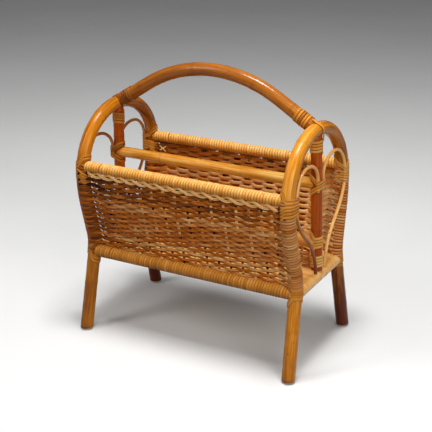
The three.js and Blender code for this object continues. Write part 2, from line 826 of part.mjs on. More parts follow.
addEnds('end_arch', geometryOf(endArch()), pole_finish);
add('handle', geometryOf(handle()), pole_finish);
add('base_board', geometryOf(baseBoard()), board_finish);
addEnds('post', geometryOf(post()), pole_finish);
add('centre_rail_upper', geometryOf(centreRail(upper_rail_height, upper_rail_radius)), pole_finish);
add('centre_rail_lower', geometryOf(centreRail(lower_rail_height, lower_rail_radius)), pole_finish);

addFaces('top_rail', geometryOf(sideRail(top_rail_y, top_rail_height, top_rail_diameter / 2)), pole_finish);
addFaces('top_rail_wrap', geometryOf(sideRail(top_rail_y, top_rail_height, top_wrap_radius,
  top_rail_diameter / 2 + seat_gap)), cane_wrap);
addFaces('bottom_rail', geometryOf(sideRail(bottom_rail_y, bottom_rail_height, bottom_rail_diameter / 2)),
  pole_finish);
addFaces('bottom_rail_wrap', geometryOf(sideRail(bottom_rail_y, bottom_rail_height, bottom_wrap_radius,
  bottom_rail_diameter / 2 + seat_gap)), cane_wrap);

addFaces('side_panel', geometryOf(sidePanel()), weave);
addFaces('plait', geometryOf(plait()), straw);
add('divider_panel', geometryOf(dividerPanel()), weave);

addQuarters('scroll_reed', geometryOf(scrollReed()), pole_finish);

const reed_beside_leg = { x: reed_on_leg.x, y: reed_on_leg.y, radius: reed_radius };
const reeds_beside_post = [-1, 1].map(
  (side) => ({ x: reed_on_post.x, y: side * reed_on_post.y, radius: reed_radius }));

addEnds('handle_lashing', handleLashing(), lashing_cane);
addEnds('post_top_lashing',
  postLashing('post top lashing', post_top_lashing_height, post_top_lashing_turns), lashing_cane);
addEnds('post_foot_lashing',
  postLashing('post foot lashing', post_foot_lashing_height, post_foot_lashing_turns), lashing_cane);
addEnds('upper_centre_lashing',
  centreLashing('upper centre lashing', upper_rail_height, upper_rail_radius, reeds_beside_post),
  lashing_cane);
addEnds('lower_centre_lashing',
  centreLashing('lower centre lashing', lower_rail_height, lower_rail_radius, []), lashing_cane);
addQuarters('top_rail_lashing',
  legLashing('top rail lashing', top_lashing_height, top_rail_height, top_wrap_radius, [reed_beside_leg],
    top_lashing_turns, top_lashing_turns_under), lashing_cane);
addQuarters('bottom_rail_lashing',
  legLashing('bottom rail lashing', bottom_rail_height, bottom_rail_height, bottom_wrap_radius, [],
    bottom_lashing_turns, bottom_lashing_turns_under), lashing_cane);

addQuarters('foot_glide', footGlide(), glide_plastic);

export default group;
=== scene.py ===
import math

import bpy
import numpy as np
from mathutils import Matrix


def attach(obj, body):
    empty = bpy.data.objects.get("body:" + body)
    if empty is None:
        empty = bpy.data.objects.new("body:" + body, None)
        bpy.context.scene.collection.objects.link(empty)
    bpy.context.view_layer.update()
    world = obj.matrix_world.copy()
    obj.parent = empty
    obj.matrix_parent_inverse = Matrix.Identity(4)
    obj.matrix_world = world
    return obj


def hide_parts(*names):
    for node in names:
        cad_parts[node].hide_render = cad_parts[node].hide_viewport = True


# Magazine basket of lashed rattan poles, in metres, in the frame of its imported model.
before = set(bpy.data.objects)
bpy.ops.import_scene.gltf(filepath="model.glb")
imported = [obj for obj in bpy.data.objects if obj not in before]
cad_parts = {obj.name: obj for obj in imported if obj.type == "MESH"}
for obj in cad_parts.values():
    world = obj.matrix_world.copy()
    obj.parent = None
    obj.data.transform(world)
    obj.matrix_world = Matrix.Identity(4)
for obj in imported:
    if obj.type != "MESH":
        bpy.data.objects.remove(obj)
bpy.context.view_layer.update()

# Camera: stands where the photograph was taken from, to the right of the front and well above the crests.
camera_place = (0.8329, -1.4369, 0.8673)
camera_dip = math.radians(21.15)
camera_turn = math.radians(27.88)
camera_data = bpy.data.cameras.new("camera")
camera_data.sensor_width = 36
camera_data.lens = 79.77
camera_data.shift_x = -0.0745
camera_data.shift_y = 0.0049
camera_data.clip_end = 50
camera = bpy.data.objects.new("camera", camera_data)
camera.location = camera_place
camera.rotation_euler = (math.pi / 2 - camera_dip, 0, camera_turn)
bpy.context.scene.collection.objects.link(camera)
bpy.context.scene.camera = camera
bpy.context.scene.view_settings.view_transform = "Standard"


# Studio: a wide pale floor, soft lights at the left, at the right and overhead, and a dim grey room. The
# floor throws less light back onto the basket than its own colour would.
def tint(red, green, blue):
    """A colour given in screen values from 0 to 255, as the linear values that a shader takes."""
    screen = np.array([red, green, blue]) / 255
    return (*np.where(screen <= 0.04045, screen / 12.92, ((screen + 0.055) / 1.055) ** 2.4), 1)


def add_node(tree, kind, sockets, **settings):
    """A shader node with its settings, each listed socket set to a value or joined to an output."""
    made = tree.nodes.new("ShaderNode" + kind)
    for name, value in settings.items():
        setattr(made, name, value)
    for key, value in sockets.items():
        if isinstance(value, bpy.types.NodeSocket):
            tree.links.new(value, made.inputs[key])
        else:
            made.inputs[key].default_value = value
    return made


def mix_colours(tree, share, first, second):
    """The output of a node that mixes two colours, each a value or an output."""
    made = add_node(tree, "Mix", {"Factor": share, 6: first, 7: second}, data_type="RGBA")
    return made.outputs[2]


def new_material(name):
    """An empty node material and its Principled shader."""
    material = bpy.data.materials.new(name)
    material.use_nodes = True
    return material, material.node_tree.nodes["Principled BSDF"]


floor_radius = 12
floor_sides = 96
floor_tints = (tint(226, 226, 225), tint(238, 238, 237))
floor_bounce = tint(104, 104, 106)
floor_angles = np.linspace(0, 2 * np.pi, floor_sides, endpoint=False)
floor_mesh = bpy.data.meshes.new("floor")
floor_mesh.from_pydata(
    np.stack([np.cos(floor_angles), np.sin(floor_angles), 0 * floor_angles], -1) * floor_radius,
    [], [list(range(floor_sides))])
floor = bpy.data.objects.new("floor", floor_mesh)
bpy.context.scene.collection.objects.link(floor)
floor_paint, floor_shader = new_material("floor_paint")
floor_tree = floor_paint.node_tree
floor_place = add_node(floor_tree, "TexCoord", {}).outputs["Object"]
floor_cloud = add_node(floor_tree, "TexNoise", {"Vector": floor_place, "Scale": 2.2, "Detail": 5.0})
floor_pale = mix_colours(floor_tree, floor_cloud.outputs["Fac"], *floor_tints)
floor_rays = add_node(floor_tree, "LightPath", {})
floor_seen = add_node(floor_tree, "Math", {
    0: floor_rays.outputs["Is Camera Ray"], 1: floor_rays.outputs["Is Glossy Ray"]}, operation="MAXIMUM")
floor_seen = add_node(floor_tree, "Math", {
    0: floor_seen.outputs["Value"], 1: floor_rays.outputs["Is Transmission Ray"]}, operation="MAXIMUM")
floor_shade = mix_colours(floor_tree, floor_seen.outputs["Value"], floor_bounce, floor_pale)
floor_tree.links.new(floor_shade, floor_shader.inputs["Base Color"])
floor_shader.inputs["Roughness"].default_value = 0.7
floor_mesh.materials.append(floor_paint)


def area_lamp(name, place, aim, size, power, colour):
    """A rectangular lamp at a place, turned to face an aim point."""
    data = bpy.data.lights.new(name, "AREA")
    data.shape = "RECTANGLE"
    data.size, data.size_y = size
    data.energy = power
    data.color = colour
    lamp = bpy.data.objects.new(name, data)
    heading = np.subtract(aim, place)
    lamp.location = place
    lamp.rotation_euler = (
        math.acos(-heading[2] / np.linalg.norm(heading)), 0, math.atan2(heading[1], heading[0]) - math.pi / 2)
    bpy.context.scene.collection.objects.link(lamp)


basket_middle = (0, 0, 0.25)
room_colour = (0.12, 0.12, 0.125, 1)
area_lamp("window_light", (-1.5, -1.9, 2.0), basket_middle, (0.8, 1.6), 24, (1.0, 0.985, 0.96))
area_lamp("side_light", (2.0, -1.4, 1.3), basket_middle, (1.4, 1.4), 30, (1.0, 0.99, 0.97))
area_lamp("overhead_light", (0.2, -0.2, 2.5), basket_middle, (0.8, 0.5), 54, (1.0, 1.0, 1.0))

room = bpy.data.worlds.new("room")
bpy.context.scene.world = room
room.use_nodes = True
room.node_tree.nodes["Background"].inputs["Color"].default_value = room_colour


# End arches: one 24 mm rattan pole each, steamed and bent over a crown, its legs drawn in at a waist and
# splayed to the floor. The pole is round, with faint joints of the vine, under amber varnish.
pole_radius = 0.012
foot_half_length = 0.216
crest_half_length = 0.2033
foot_half_width = 0.1226
waist_half_width = 0.0845
shoulder_half_width = 0.1142
waist_height = 0.1722
shoulder_height = 0.2823
crest_height = 0.4229
waist_bend_reach = 0.0206
shoulder_bend_reach = 0.0354
crown_base_height = shoulder_height + shoulder_bend_reach
sole_height = 0.0043
crown_points = 90
pole_sides = 40
station_spacing = 0.003
joint_swell = 0.022
joint_swell_length = 0.005
joint_ring_depth = 0.4
joint_ring_length = 0.0014
pole_waver = 0.006
pole_waver_length = 0.021
pole_waver_phase = 5


def unit(vectors):
    """Vectors scaled to length one."""
    return vectors / np.linalg.norm(vectors, axis=-1, keepdims=True)


def dot(first, second):
    """Dot product along the last axis, which is kept."""
    return np.sum(first * second, axis=-1, keepdims=True)


def rounded_line(corners, reaches, arc_points=24):
    """A line of corners in a plane. Each inner corner becomes an arc that starts and ends at its reach from
    the corner, so its radius is the reach over the tangent of half the turn."""
    points = [corners[:1]]
    for before, corner, after, reach in zip(corners[:-2], corners[1:-1], corners[2:], reaches):
        inward, onward = unit(corner - before), unit(after - corner)
        turn = math.atan2(inward[0] * onward[1] - inward[1] * onward[0], inward @ onward)
        radius = reach / math.tan(turn / 2)
        to_side = np.array([-inward[1], inward[0]])
        angle = np.linspace(0, turn, arc_points)[:, None]
        points.append(corner - reach * inward
                      + radius * (np.sin(angle) * inward + (1 - np.cos(angle)) * to_side))
    return np.concatenate([*points, corners[-1:]])


def lengths_along(path):
    """Distance from a path's start to each of its stations."""
    steps = np.linalg.norm(np.diff(path, axis=-2), axis=-1)
    return np.concatenate([np.zeros_like(steps[..., :1]), np.cumsum(steps, axis=-1)], -1)


def read_along(line, values, lengths):
    """Rows of values given at a line's points, read between them at distances from its start."""
    painted_shade_marks = lengths_along(line)
    return np.stack([np.interp(lengths, painted_shade_marks, column) for column in values.T], -1)


def respaced(path, spacing):
    """The same path with its points at even steps of about the given length."""
    total = lengths_along(path)[-1]
    return read_along(path, path, np.linspace(0, total, max(2, round(total / spacing) + 1)))


leg_slope = (foot_half_width - waist_half_width) / waist_height
leg_outline = rounded_line(np.array([
    [foot_half_width - leg_slope * sole_height, sole_height],
    [waist_half_width, waist_height],
    [shoulder_half_width, shoulder_height],
    [shoulder_half_width, crown_base_height]]), (waist_bend_reach, shoulder_bend_reach))
crown_angle = np.linspace(0, np.pi / 2, crown_points)[1:]
crown_outline = np.stack([
    shoulder_half_width * np.cos(crown_angle),
    crown_base_height + (crest_height - crown_base_height) * np.sin(crown_angle)], -1)
half_outline = respaced(np.concatenate([leg_outline, crown_outline]), station_spacing)


def leg_half_width(height):
    """Half the width of the arch, on its axis, at a height below the crest."""
    return np.interp(height, half_outline[:, 1], half_outline[:, 0])


def end_x(height):
    """Distance of an end's leaning plane from the middle of the basket, at a height."""
    return foot_half_length + (crest_half_length - foot_half_length) * height / crest_height


def stacked(*parts):
    """Coordinates, each one value or an array, as points."""
    return np.stack(np.broadcast_arrays(*parts), -1)


def on_end(y, height, stand_off=0.0):
    """Points in the right end's plane, or standing out from it."""
    return stacked(end_x(height) + stand_off, y, height)


def squared_frame(path, facing):
    """The way along a path, the facing direction squared to it, and the way across them."""
    along = unit(np.gradient(path, axis=-2))
    out = unit(facing - along * dot(facing, along))
    return along, out, np.cross(along, out)


def sweep(path, facing, section):
    """A section carried along a path: its point (a, b) lies a outwards and b across from each station."""
    _, out, across = squared_frame(path, facing)
    return (path[..., None, :] + section[..., 0, None] * out[..., None, :]
            + section[..., 1, None] * across[..., None, :])


def round_section(radius, sides):
    """Points round a circle. The radius is one value or one for each station."""
    angle = np.linspace(0, 2 * np.pi, sides, endpoint=False)
    return np.asarray(radius)[..., None, None] * np.stack([np.cos(angle), np.sin(angle)], -1)


def skin(name, grid, grain, tone=0.0, ring=0.0):
    """Closed tubes from a grid of points (strand, station, side): each square of neighbours is a face, and a
    polygon closes each end. Grain, tone and ring are what a finish reads: the place in the wood, how light or
    dark the piece is, which in places holds painted light and shade, and its dark marks, which are a pole's
    joints and, on strands, painted shade at their edges and where rows pass behind a stake."""
    grid = grid.reshape(-1, *grid.shape[-3:])
    index = np.arange(grid[..., 0].size).reshape(grid.shape[:-1])
    onward = np.roll(index, -1, axis=2)
    squares = np.stack([index[:, :-1], onward[:, :-1], onward[:, 1:], index[:, 1:]], -1).reshape(-1, 4)
    caps = np.concatenate([index[:, 0, ::-1], index[:, -1]])
    counts = np.repeat([4, grid.shape[2]], [len(squares), len(caps)])
    mesh = bpy.data.meshes.new(name)
    mesh.vertices.add(index.size)
    mesh.vertices.foreach_set("co", grid.ravel())
    mesh.loops.add(int(counts.sum()))
    mesh.loops.foreach_set("vertex_index", np.concatenate([squares.ravel(), caps.ravel()]))
    mesh.polygons.add(len(counts))
    mesh.polygons.foreach_set("loop_start", np.concatenate([[0], np.cumsum(counts)[:-1]]))
    mesh.polygons.foreach_set("use_smooth", counts == 4)
    mesh.update(calc_edges=True)
    grain_data = mesh.attributes.new("grain", "FLOAT_VECTOR", "POINT")
    grain_data.data.foreach_set("vector", np.broadcast_to(grain, grid.shape).astype(np.float32).ravel())
    for label, value in (("tone", tone), ("ring", ring)):
        spread = np.broadcast_to(value, grid.shape[:-1]).astype(np.float32)
        mesh.attributes.new(label, "FLOAT", "POINT").data.foreach_set("value", spread.ravel())
    return mesh


def place(mesh, material, slot, *nodes):
    """Puts a finished mesh into the scene as a piece of the basket that stands for nodes of the frame."""
    mesh.materials.append(material)
    piece = bpy.data.objects.new(mesh.name, mesh)
    bpy.context.scene.collection.objects.link(piece)
    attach(piece, "root")
    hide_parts(*nodes)


def in_quarter(grid, x_side, y_side=1):
    """A grid mirrored in x, in y or in both. Its sides are reversed where that keeps its faces outwards."""
    turned = grid * np.array([x_side, y_side, 1])
    return turned[..., ::-1, :] if x_side * y_side < 0 else turned


def grain_along(path, section, start=0.0):
    """Place in the wood: the distance along each strand from its own start, and its section's offsets."""
    length = lengths_along(path) + np.asarray(start)[..., None]
    section = np.broadcast_to(section, (*path.shape[:-1], *section.shape[-2:]))
    return np.concatenate([np.broadcast_to(length[..., None, None], (*section.shape[:-1], 1)), section], -1)


def vine_pole(path, facing, radius, joints, start):
    """Grid, grain and joint marks of a rattan pole. It swells a little at the joints of the vine, where a
    dark ring runs round it: both fade by the square of the distance in an exponent. Its radius wavers as a
    slow sine."""
    length = lengths_along(path)
    away = np.abs(length[:, None] - np.asarray(joints) * length[-1]).min(-1)
    swell = (joint_swell * np.exp(-(away / joint_swell_length) ** 2)
             + pole_waver * np.sin(length / pole_waver_length + start * pole_waver_phase))
    section = round_section(radius * (1 + swell), pole_sides)
    ring = joint_ring_depth * np.exp(-(away / joint_ring_length) ** 2)[:, None]
    return sweep(path, facing, section), grain_along(path, section, start), ring


streak_counts = (14.0, 330.0, 330.0)
patch_counts = (8.0, 26.0, 26.0)
pore_counts = (260.0, 900.0, 900.0)
speck_counts = (110.0, 190.0, 190.0)
speck_levels = (0.72, 0.77)
speck_depth = 0.7
ring_colour_share = 0.75
ring_height_share = 0.8
pore_height_share = 0.35


def cane_grain_group():
    """Colour, roughness and height of cane or wood. Streaks, slow patches and the piece's tone, which in
    places holds painted light and shade, add up to a level, which runs from dark through body to light; its
    marks, the joints and painted shade, and a few specks go back to dark. Each noise has its counts to the
    metre along the grain and across it."""
    tree = bpy.data.node_groups.new("cane_grain", "ShaderNodeTree")
    for name, kind in (("Point", "Vector"), ("Tone", "Float"), ("Ring", "Float"), ("Fineness", "Float"),
                       ("Streaks", "Float"), ("Patches", "Float"), ("Dark", "Color"), ("Body", "Color"),
                       ("Light", "Color"), ("Sheen Low", "Float"), ("Sheen High", "Float")):
        tree.interface.new_socket(name=name, in_out="INPUT", socket_type="NodeSocket" + kind)
    for name, kind in (("Color", "Color"), ("Roughness", "Float"), ("Height", "Float")):
        tree.interface.new_socket(name=name, in_out="OUTPUT", socket_type="NodeSocket" + kind)
    given = tree.nodes.new("NodeGroupInput").outputs
    result = tree.nodes.new("NodeGroupOutput").inputs

    def noise(counts, detail):
        fine = add_node(tree, "VectorMath", {0: given["Point"], 1: counts}, operation="MULTIPLY")
        sized = add_node(tree, "VectorMath", {
            0: fine.outputs["Vector"], "Scale": given["Fineness"]}, operation="SCALE")
        made = add_node(tree, "TexNoise", {
            "Vector": sized.outputs["Vector"], "Scale": 1.0, "Detail": detail, "Roughness": 0.6})
        return made.outputs["Fac"]

    def combined(operation, first, second, third=0.0):
        return add_node(tree, "Math", {0: first, 1: second, 2: third}, operation=operation).outputs["Value"]

    streak = noise(streak_counts, detail=5.0)
    patch = noise(patch_counts, detail=3.0)
    pore = noise(pore_counts, detail=2.0)
    speck = noise(speck_counts, detail=1.0)
    level = combined("MULTIPLY_ADD", combined("SUBTRACT", streak, 0.5), given["Streaks"], 0.5)
    level = combined("MULTIPLY_ADD", combined("SUBTRACT", patch, 0.5), given["Patches"], level)
    level = combined("ADD", level, given["Tone"])
    lower = add_node(tree, "MapRange", {"Value": level, "From Min": 0.0, "From Max": 0.5})
    upper = add_node(tree, "MapRange", {"Value": level, "From Min": 0.5, "From Max": 1.0})
    shade = mix_colours(tree, lower.outputs["Result"], given["Dark"], given["Body"])
    shade = mix_colours(tree, upper.outputs["Result"], shade, given["Light"])
    speckled = add_node(tree, "MapRange", {
        "Value": speck, "From Min": speck_levels[0], "From Max": speck_levels[1], "To Max": speck_depth})
    marked = combined("MAXIMUM", combined("MULTIPLY", given["Ring"], ring_colour_share),
                      speckled.outputs["Result"])
    shade = mix_colours(tree, marked, shade, given["Dark"])
    sheen = add_node(tree, "MapRange", {
        "Value": streak, "From Min": 0.25, "From Max": 0.75,
        "To Min": given["Sheen Low"], "To Max": given["Sheen High"]})
    relief = combined("MULTIPLY_ADD", pore, pore_height_share,
                      combined("MULTIPLY", streak, 1 - pore_height_share))
    tree.links.new(shade, result["Color"])
    tree.links.new(sheen.outputs["Result"], result["Roughness"])
    tree.links.new(combined("SUBTRACT", relief, combined("MULTIPLY", given["Ring"], ring_height_share)),
                   result["Height"])
    return tree


cane_grain = cane_grain_group()
bump_strength = 0.6
bump_depth = 0.0003
cane_shine = 0.06


def cane_finish(name, dark, body, light, fineness=1.0, streaks=0.9, patches=0.9, sheen=(0.28, 0.45),
                varnish=0.2, varnish_roughness=0.12):
    """A varnished cane or wood finish that reads each piece's grain, tone and marks. The varnish is a clear
    coat over the grain group's colour, roughness and bump."""
    material, shader = new_material(name)
    tree = material.node_tree
    grain = add_node(tree, "Group", {}, node_tree=cane_grain)
    for label, output, socket in (
            ("grain", "Vector", "Point"), ("tone", "Fac", "Tone"), ("ring", "Fac", "Ring")):
        read = add_node(tree, "Attribute", {}, attribute_name=label)
        tree.links.new(read.outputs[output], grain.inputs[socket])
    for key, value in (("Fineness", fineness), ("Streaks", streaks), ("Patches", patches),
                       ("Dark", tint(*dark)), ("Body", tint(*body)), ("Light", tint(*light)),
                       ("Sheen Low", sheen[0]), ("Sheen High", sheen[1])):
        grain.inputs[key].default_value = value
    bump = add_node(tree, "Bump", {
        "Height": grain.outputs["Height"], "Strength": bump_strength, "Distance": bump_depth})
    tree.links.new(grain.outputs["Color"], shader.inputs["Base Color"])
    tree.links.new(grain.outputs["Roughness"], shader.inputs["Roughness"])
    tree.links.new(bump.outputs["Normal"], shader.inputs["Normal"])
    shader.inputs["Specular IOR Level"].default_value = cane_shine
    shader.inputs["Coat Weight"].default_value = varnish
    shader.inputs["Coat Roughness"].default_value = varnish_roughness
    return material


amber_pole = cane_finish("amber_pole", (100, 36, 1), (206, 126, 20), (250, 204, 108), varnish=0.3,
                         varnish_roughness=0.2)

arch_half = on_end(-half_outline[:, 0], half_outline[:, 1])
arch_path = np.concatenate([arch_half, arch_half[-2::-1] * [1, -1, 1]])
toward_right = np.array([1.0, 0.0, 0.0])
arch_joints = (0.09, 0.27, 0.44, 0.62, 0.79, 0.95)
arch_grain_step = 2.3
front_to_back = 0.06
# Tones at the front and at the back, first the crown's and then what the legs add low down. They are partly
# # painted light: the left arch darker than the right and the back darker than the front. Low down the legs
# # are darker towards the back, partly the cane's own dark colour and partly painted shade under the basket.
arch_painted_light_and_tones = (("left", -1, (-0.2, -0.28), (-0.1, -0.35)), ("right", 1, (0.1, -0.2), (-0.32, -0.45)))

arch_grid, arch_grain, arch_ring = vine_pole(arch_path, toward_right, pole_radius, arch_joints, start=0.0)
arch_along = squared_frame(arch_path, toward_right)[0]
for station in (0, -1):
    rise = (sole_height - arch_grid[station, :, 2]) / arch_along[station, 2]
    arch_grid[station] += rise[:, None] * arch_along[station]
arch_low = np.clip(1 - arch_path[:, 2] / waist_height, 0, 1)[:, None]
arch_back = np.clip(0.5 + arch_path[:, 1, None] / front_to_back, 0, 1)
for number, (end, x_side, crown_painted_lights, leg_tones_and_painted_shades) in enumerate(arch_painted_light_and_tones):
    crown_painted_light, leg_tone_and_painted_shade = (front + (back - front) * arch_back for front, back in (crown_painted_lights, leg_tones_and_painted_shades))
    place(skin(f"arch_pole_{end}", in_quarter(arch_grid, x_side),
               arch_grain + [number * arch_grain_step, 0, 0], crown_painted_light + arch_low * leg_tone_and_painted_shade, arch_ring),
          amber_pole, "pole", f"end_arch_{end}")


# Handle: a pole of the same thickness, bent to a bow. Its ends are cut hollow to fit round the crests, where
# they are nailed and then lashed.
handle_peak_height = 0.548
handle_bend_reach = 0.155
handle_joints = (0.13, 0.42, 0.71, 0.9)
# Painted light: the handle darker towards its left end and lighter towards its right.
handle_painted_light_slope = 0.5
cope_bite = 0.0005
toward_back = np.array([0.0, 1.0, 0.0])
upward = np.array([0.0, 0.0, 1.0])


def cope_end(ring, heading, axis_point, axis_way, axis_radius):
    """The end ring of a pole, each point run along the heading until it bites a little into another pole: the
    nearer root of its squared distance from that pole's axis."""
    radius = axis_radius - cope_bite
    away = ring - axis_point
    away = away - dot(away, axis_way) * axis_way
    step = heading - (heading @ axis_way) * axis_way
    closing = away @ step
    room = np.maximum(closing ** 2 - (step @ step) * (dot(away, away)[:, 0] - radius ** 2), 0)
    return ring + ((-closing - np.sqrt(room)) / (step @ step))[:, None] * heading


handle_arm = np.array([crest_half_length, crest_height - handle_peak_height])
handle_touch = 1 - pole_radius / np.linalg.norm(handle_arm)
handle_peak = np.array([0, handle_peak_height])
handle_outline = respaced(rounded_line(np.array([
    handle_peak + handle_arm * [-1, 1] * handle_touch, handle_peak, handle_peak + handle_arm * handle_touch]),
    (handle_bend_reach,)), station_spacing)
handle_path = stacked(handle_outline[:, 0], 0.0, handle_outline[:, 1])
handle_grid, handle_grain, handle_ring = vine_pole(
    handle_path, upward, pole_radius, handle_joints, start=5.0)
handle_along = squared_frame(handle_path, upward)[0]
for station, x_side in ((0, -1), (-1, 1)):
    handle_grid[station] = cope_end(
        handle_grid[station], x_side * handle_along[station], on_end(0.0, crest_height) * [x_side, 1, 1],
        toward_back, pole_radius)
tan_pole = cane_finish("tan_pole", (80, 30, 1), (164, 92, 20), (212, 146, 58), varnish=0.45,
                       varnish_roughness=0.18)
place(skin("handle_pole", handle_grid, handle_grain, handle_painted_light_slope * handle_path[:, :1], handle_ring),
      tan_pole, "pole", "handle")


# Base board: one plank as thick as a pole, its ends fully rounded and notched round the legs, planed smooth
# and varnished light.
board_level = 0.154
board_radius = 0.012
board_half_width = 0.0825
board_edge = 0.0022
board_stations = 121
nose_span = (0.06, 0.98)
nose_stations = 20
corner_points = 5
leg_notch_radius = 0.0139
board_finish = cane_finish("board_finish", (176, 98, 30), (240, 176, 92), (255, 224, 168), fineness=0.22,
                           streaks=0.7, patches=0.6, sheen=(0.22, 0.34), varnish=0.5)

board_flat = np.linspace(-1, 1, board_stations) * end_x(board_level)
board_nose = end_x(board_level) + board_radius * np.sin(np.linspace(*nose_span, nose_stations) * np.pi / 2)
board_x = np.concatenate([-board_nose[::-1], board_flat, board_nose])
board_depth = np.sqrt(board_radius ** 2 - np.maximum(np.abs(board_x) - end_x(board_level), 0) ** 2)
from_leg = np.minimum(np.abs(np.abs(board_x) - end_x(board_level)), leg_notch_radius)
leg_edge = leg_half_width(board_level) - np.sqrt(leg_notch_radius ** 2 - from_leg ** 2)
board_reach = np.where(from_leg < leg_notch_radius, np.minimum(board_half_width, leg_edge), board_half_width)
corner_angle = np.linspace(0, np.pi / 2, corner_points)
board_edges = np.minimum(board_edge, board_depth)[:, None]
quarter_y = np.concatenate([board_reach[:, None] - board_edges * (1 - np.cos(corner_angle)),
                            board_reach[:, None] - board_edges * 2], axis=1)
quarter_z = np.concatenate([board_depth[:, None] - board_edges * (1 - np.sin(corner_angle)),
                            board_depth[:, None]], axis=1)
board_y = np.concatenate([quarter_y, -quarter_y[:, ::-1], -quarter_y, quarter_y[:, ::-1]], axis=1)
board_z = np.concatenate([quarter_z, quarter_z[:, ::-1], -quarter_z, -quarter_z[:, ::-1]], axis=1)
board_grid = stacked(board_x[:, None], board_y, board_level + board_z)
place(skin("plank", board_grid, board_grid), board_finish, "board", "base_board")


# Posts: two 20 mm rattan poles that stand on the board and are coped to fit under the crests. They are nailed
# and lashed at both ends.
post_radius = 0.010
board_top = board_level + board_radius
post_joints = (0.31, 0.78)
post_sink = 0.0004
post_grain_step = 1.7
russet_pole = cane_finish("russet_pole", (84, 28, 1), (170, 72, 4), (214, 118, 24))

post_ends = np.array([on_end(0.0, board_top - post_sink), on_end(0.0, crest_height - pole_radius)])
post_path = respaced(post_ends, station_spacing)
post_grid, post_grain, post_ring = vine_pole(post_path, toward_right, post_radius, post_joints, start=9.0)
leaning = unit(post_path[-1] - post_path[0])
post_grid[-1] = cope_end(post_grid[-1], leaning, on_end(0.0, crest_height), toward_back, pole_radius)
for number, (end, x_side) in enumerate((("left", -1), ("right", 1))):
    place(skin(f"post_pole_{end}", in_quarter(post_grid, x_side),
               post_grain + [number * post_grain_step, 0, 0], ring=post_ring),
          russet_pole, "pole", f"post_{end}")


# Centre rails: two smooth rattan poles between the posts, the upper one amber and the lower one paler. Their
# ends are coped round the posts, nailed and lashed.
upper_rail_height = 0.326
upper_rail_radius = 0.010
lower_rail_height = 0.218
lower_rail_radius = 0.012
pale_pole = cane_finish("pale_pole", (150, 80, 20), (216, 150, 70), (240, 196, 124))


def straight_rail(y, height, radius, joints, start, ends_radius):
    """Grid, grain and marks of a straight rail along x, both ends coped round poles of the ends' radius."""
    reach = end_x(height) - ends_radius
    path = respaced(np.array([[-reach, y, height], [reach, y, height]]), station_spacing)
    grid, grain, ring = vine_pole(path, upward, radius, joints, start)
    for station, x_side in ((0, -1), (-1, 1)):
        mirror = np.array([x_side, 1, 1])
        grid[station] = cope_end(grid[station], x_side * toward_right, on_end(y, height) * mirror,
                                 leaning * mirror, ends_radius)
    return grid, grain, ring


for label, height, radius, joints, start, tone, finish in (
        ("upper", upper_rail_height, upper_rail_radius, (0.22, 0.66), 12.0, 0.12, amber_pole),
        ("lower", lower_rail_height, lower_rail_radius, (0.37, 0.81), 14.0, 0.0, pale_pole)):
    grid, grain, ring = straight_rail(0, height, radius, joints, start, post_radius)
    place(skin(f"centre_pole_{label}", grid, grain, tone, ring), finish, "pole", f"centre_rail_{label}")


# Side rails: thinner poles between the legs, each hidden under a close winding of split cane, turn against
# turn. A seam near the left end shows where a new strand begins.
top_rail_height = 0.329
top_rail_radius = 0.00875
bottom_rail_radius = 0.0105
rail_wrap_pitch = 0.0055
rail_wrap_thickness = 0.0026
rail_wrap_sink = 0.0009
rail_wrap_overrun = 0.0055
seam_turn = 6
seam_gap = 0.0016
turn_steps = 28
turn_overlap = 1.02
turn_tone_spread = 0.05
rail_joints = (0.5,)
rail_grain_start = 20
rail_cane = cane_finish("rail_cane", (92, 34, 2), (228, 150, 52), (255, 212, 134), streaks=0.35,
                        patches=0.35)
chance = np.random.default_rng(7)


def flat_section(width, thickness, points=10, squareness=2.8):
    """An oval between an ellipse and a rectangle, thickness outwards and width across: half of each times the
    cosine and the sine to the power of two over the squareness."""
    ways = round_section(1.0, points)
    return np.sign(ways) * np.abs(ways) ** (2 / squareness) * [thickness / 2, width / 2]


def outermost(angles, circles):
    """The way each angle points, and the circle that reaches furthest that way. Circles are rows of out, side
    and radius, and one reaches as far as its middle lies along the way, plus its radius."""
    circles = np.array(circles)
    way = np.stack([np.cos(angles), np.sin(angles)], -1)
    return way, circles[np.argmax(way @ circles[:, :2].T + circles[:, 2], axis=-1)]


def wound_path(line, facing, lengths, angles, circles, lift):
    """Points of a strand drawn tight round a pole and what lies along it, and the way each point faces. At
    each angle the strand lies on the outermost circle."""
    _, out, side = (read_along(line, part, lengths) for part in squared_frame(line, facing))
    way, reached = outermost(angles, circles)
    flat = reached[:, :2] + (reached[:, 2:] + lift) * way
    turned = way[:, :1] * out + way[:, 1:] * side
    return read_along(line, line, lengths) + flat[:, :1] * out + flat[:, 1:] * side, turned


def laid_strand(path, facing, section, start, tone, painted_shade_marks=0.0):
    """Grid, grain, tone and painted shade marks of strands that lie along a path."""
    return sweep(path, facing, section), grain_along(path, section, start), tone, painted_shade_marks


def painted_edge_shade(section, strength=0.8):
    """Painted shade that darkens a strand towards its two edges, in the grooves between turns and rows, by
    the cube of the distance from its middle.
    """
    across = np.abs(section[..., 1])
    return strength * (across / across.max()) ** 3


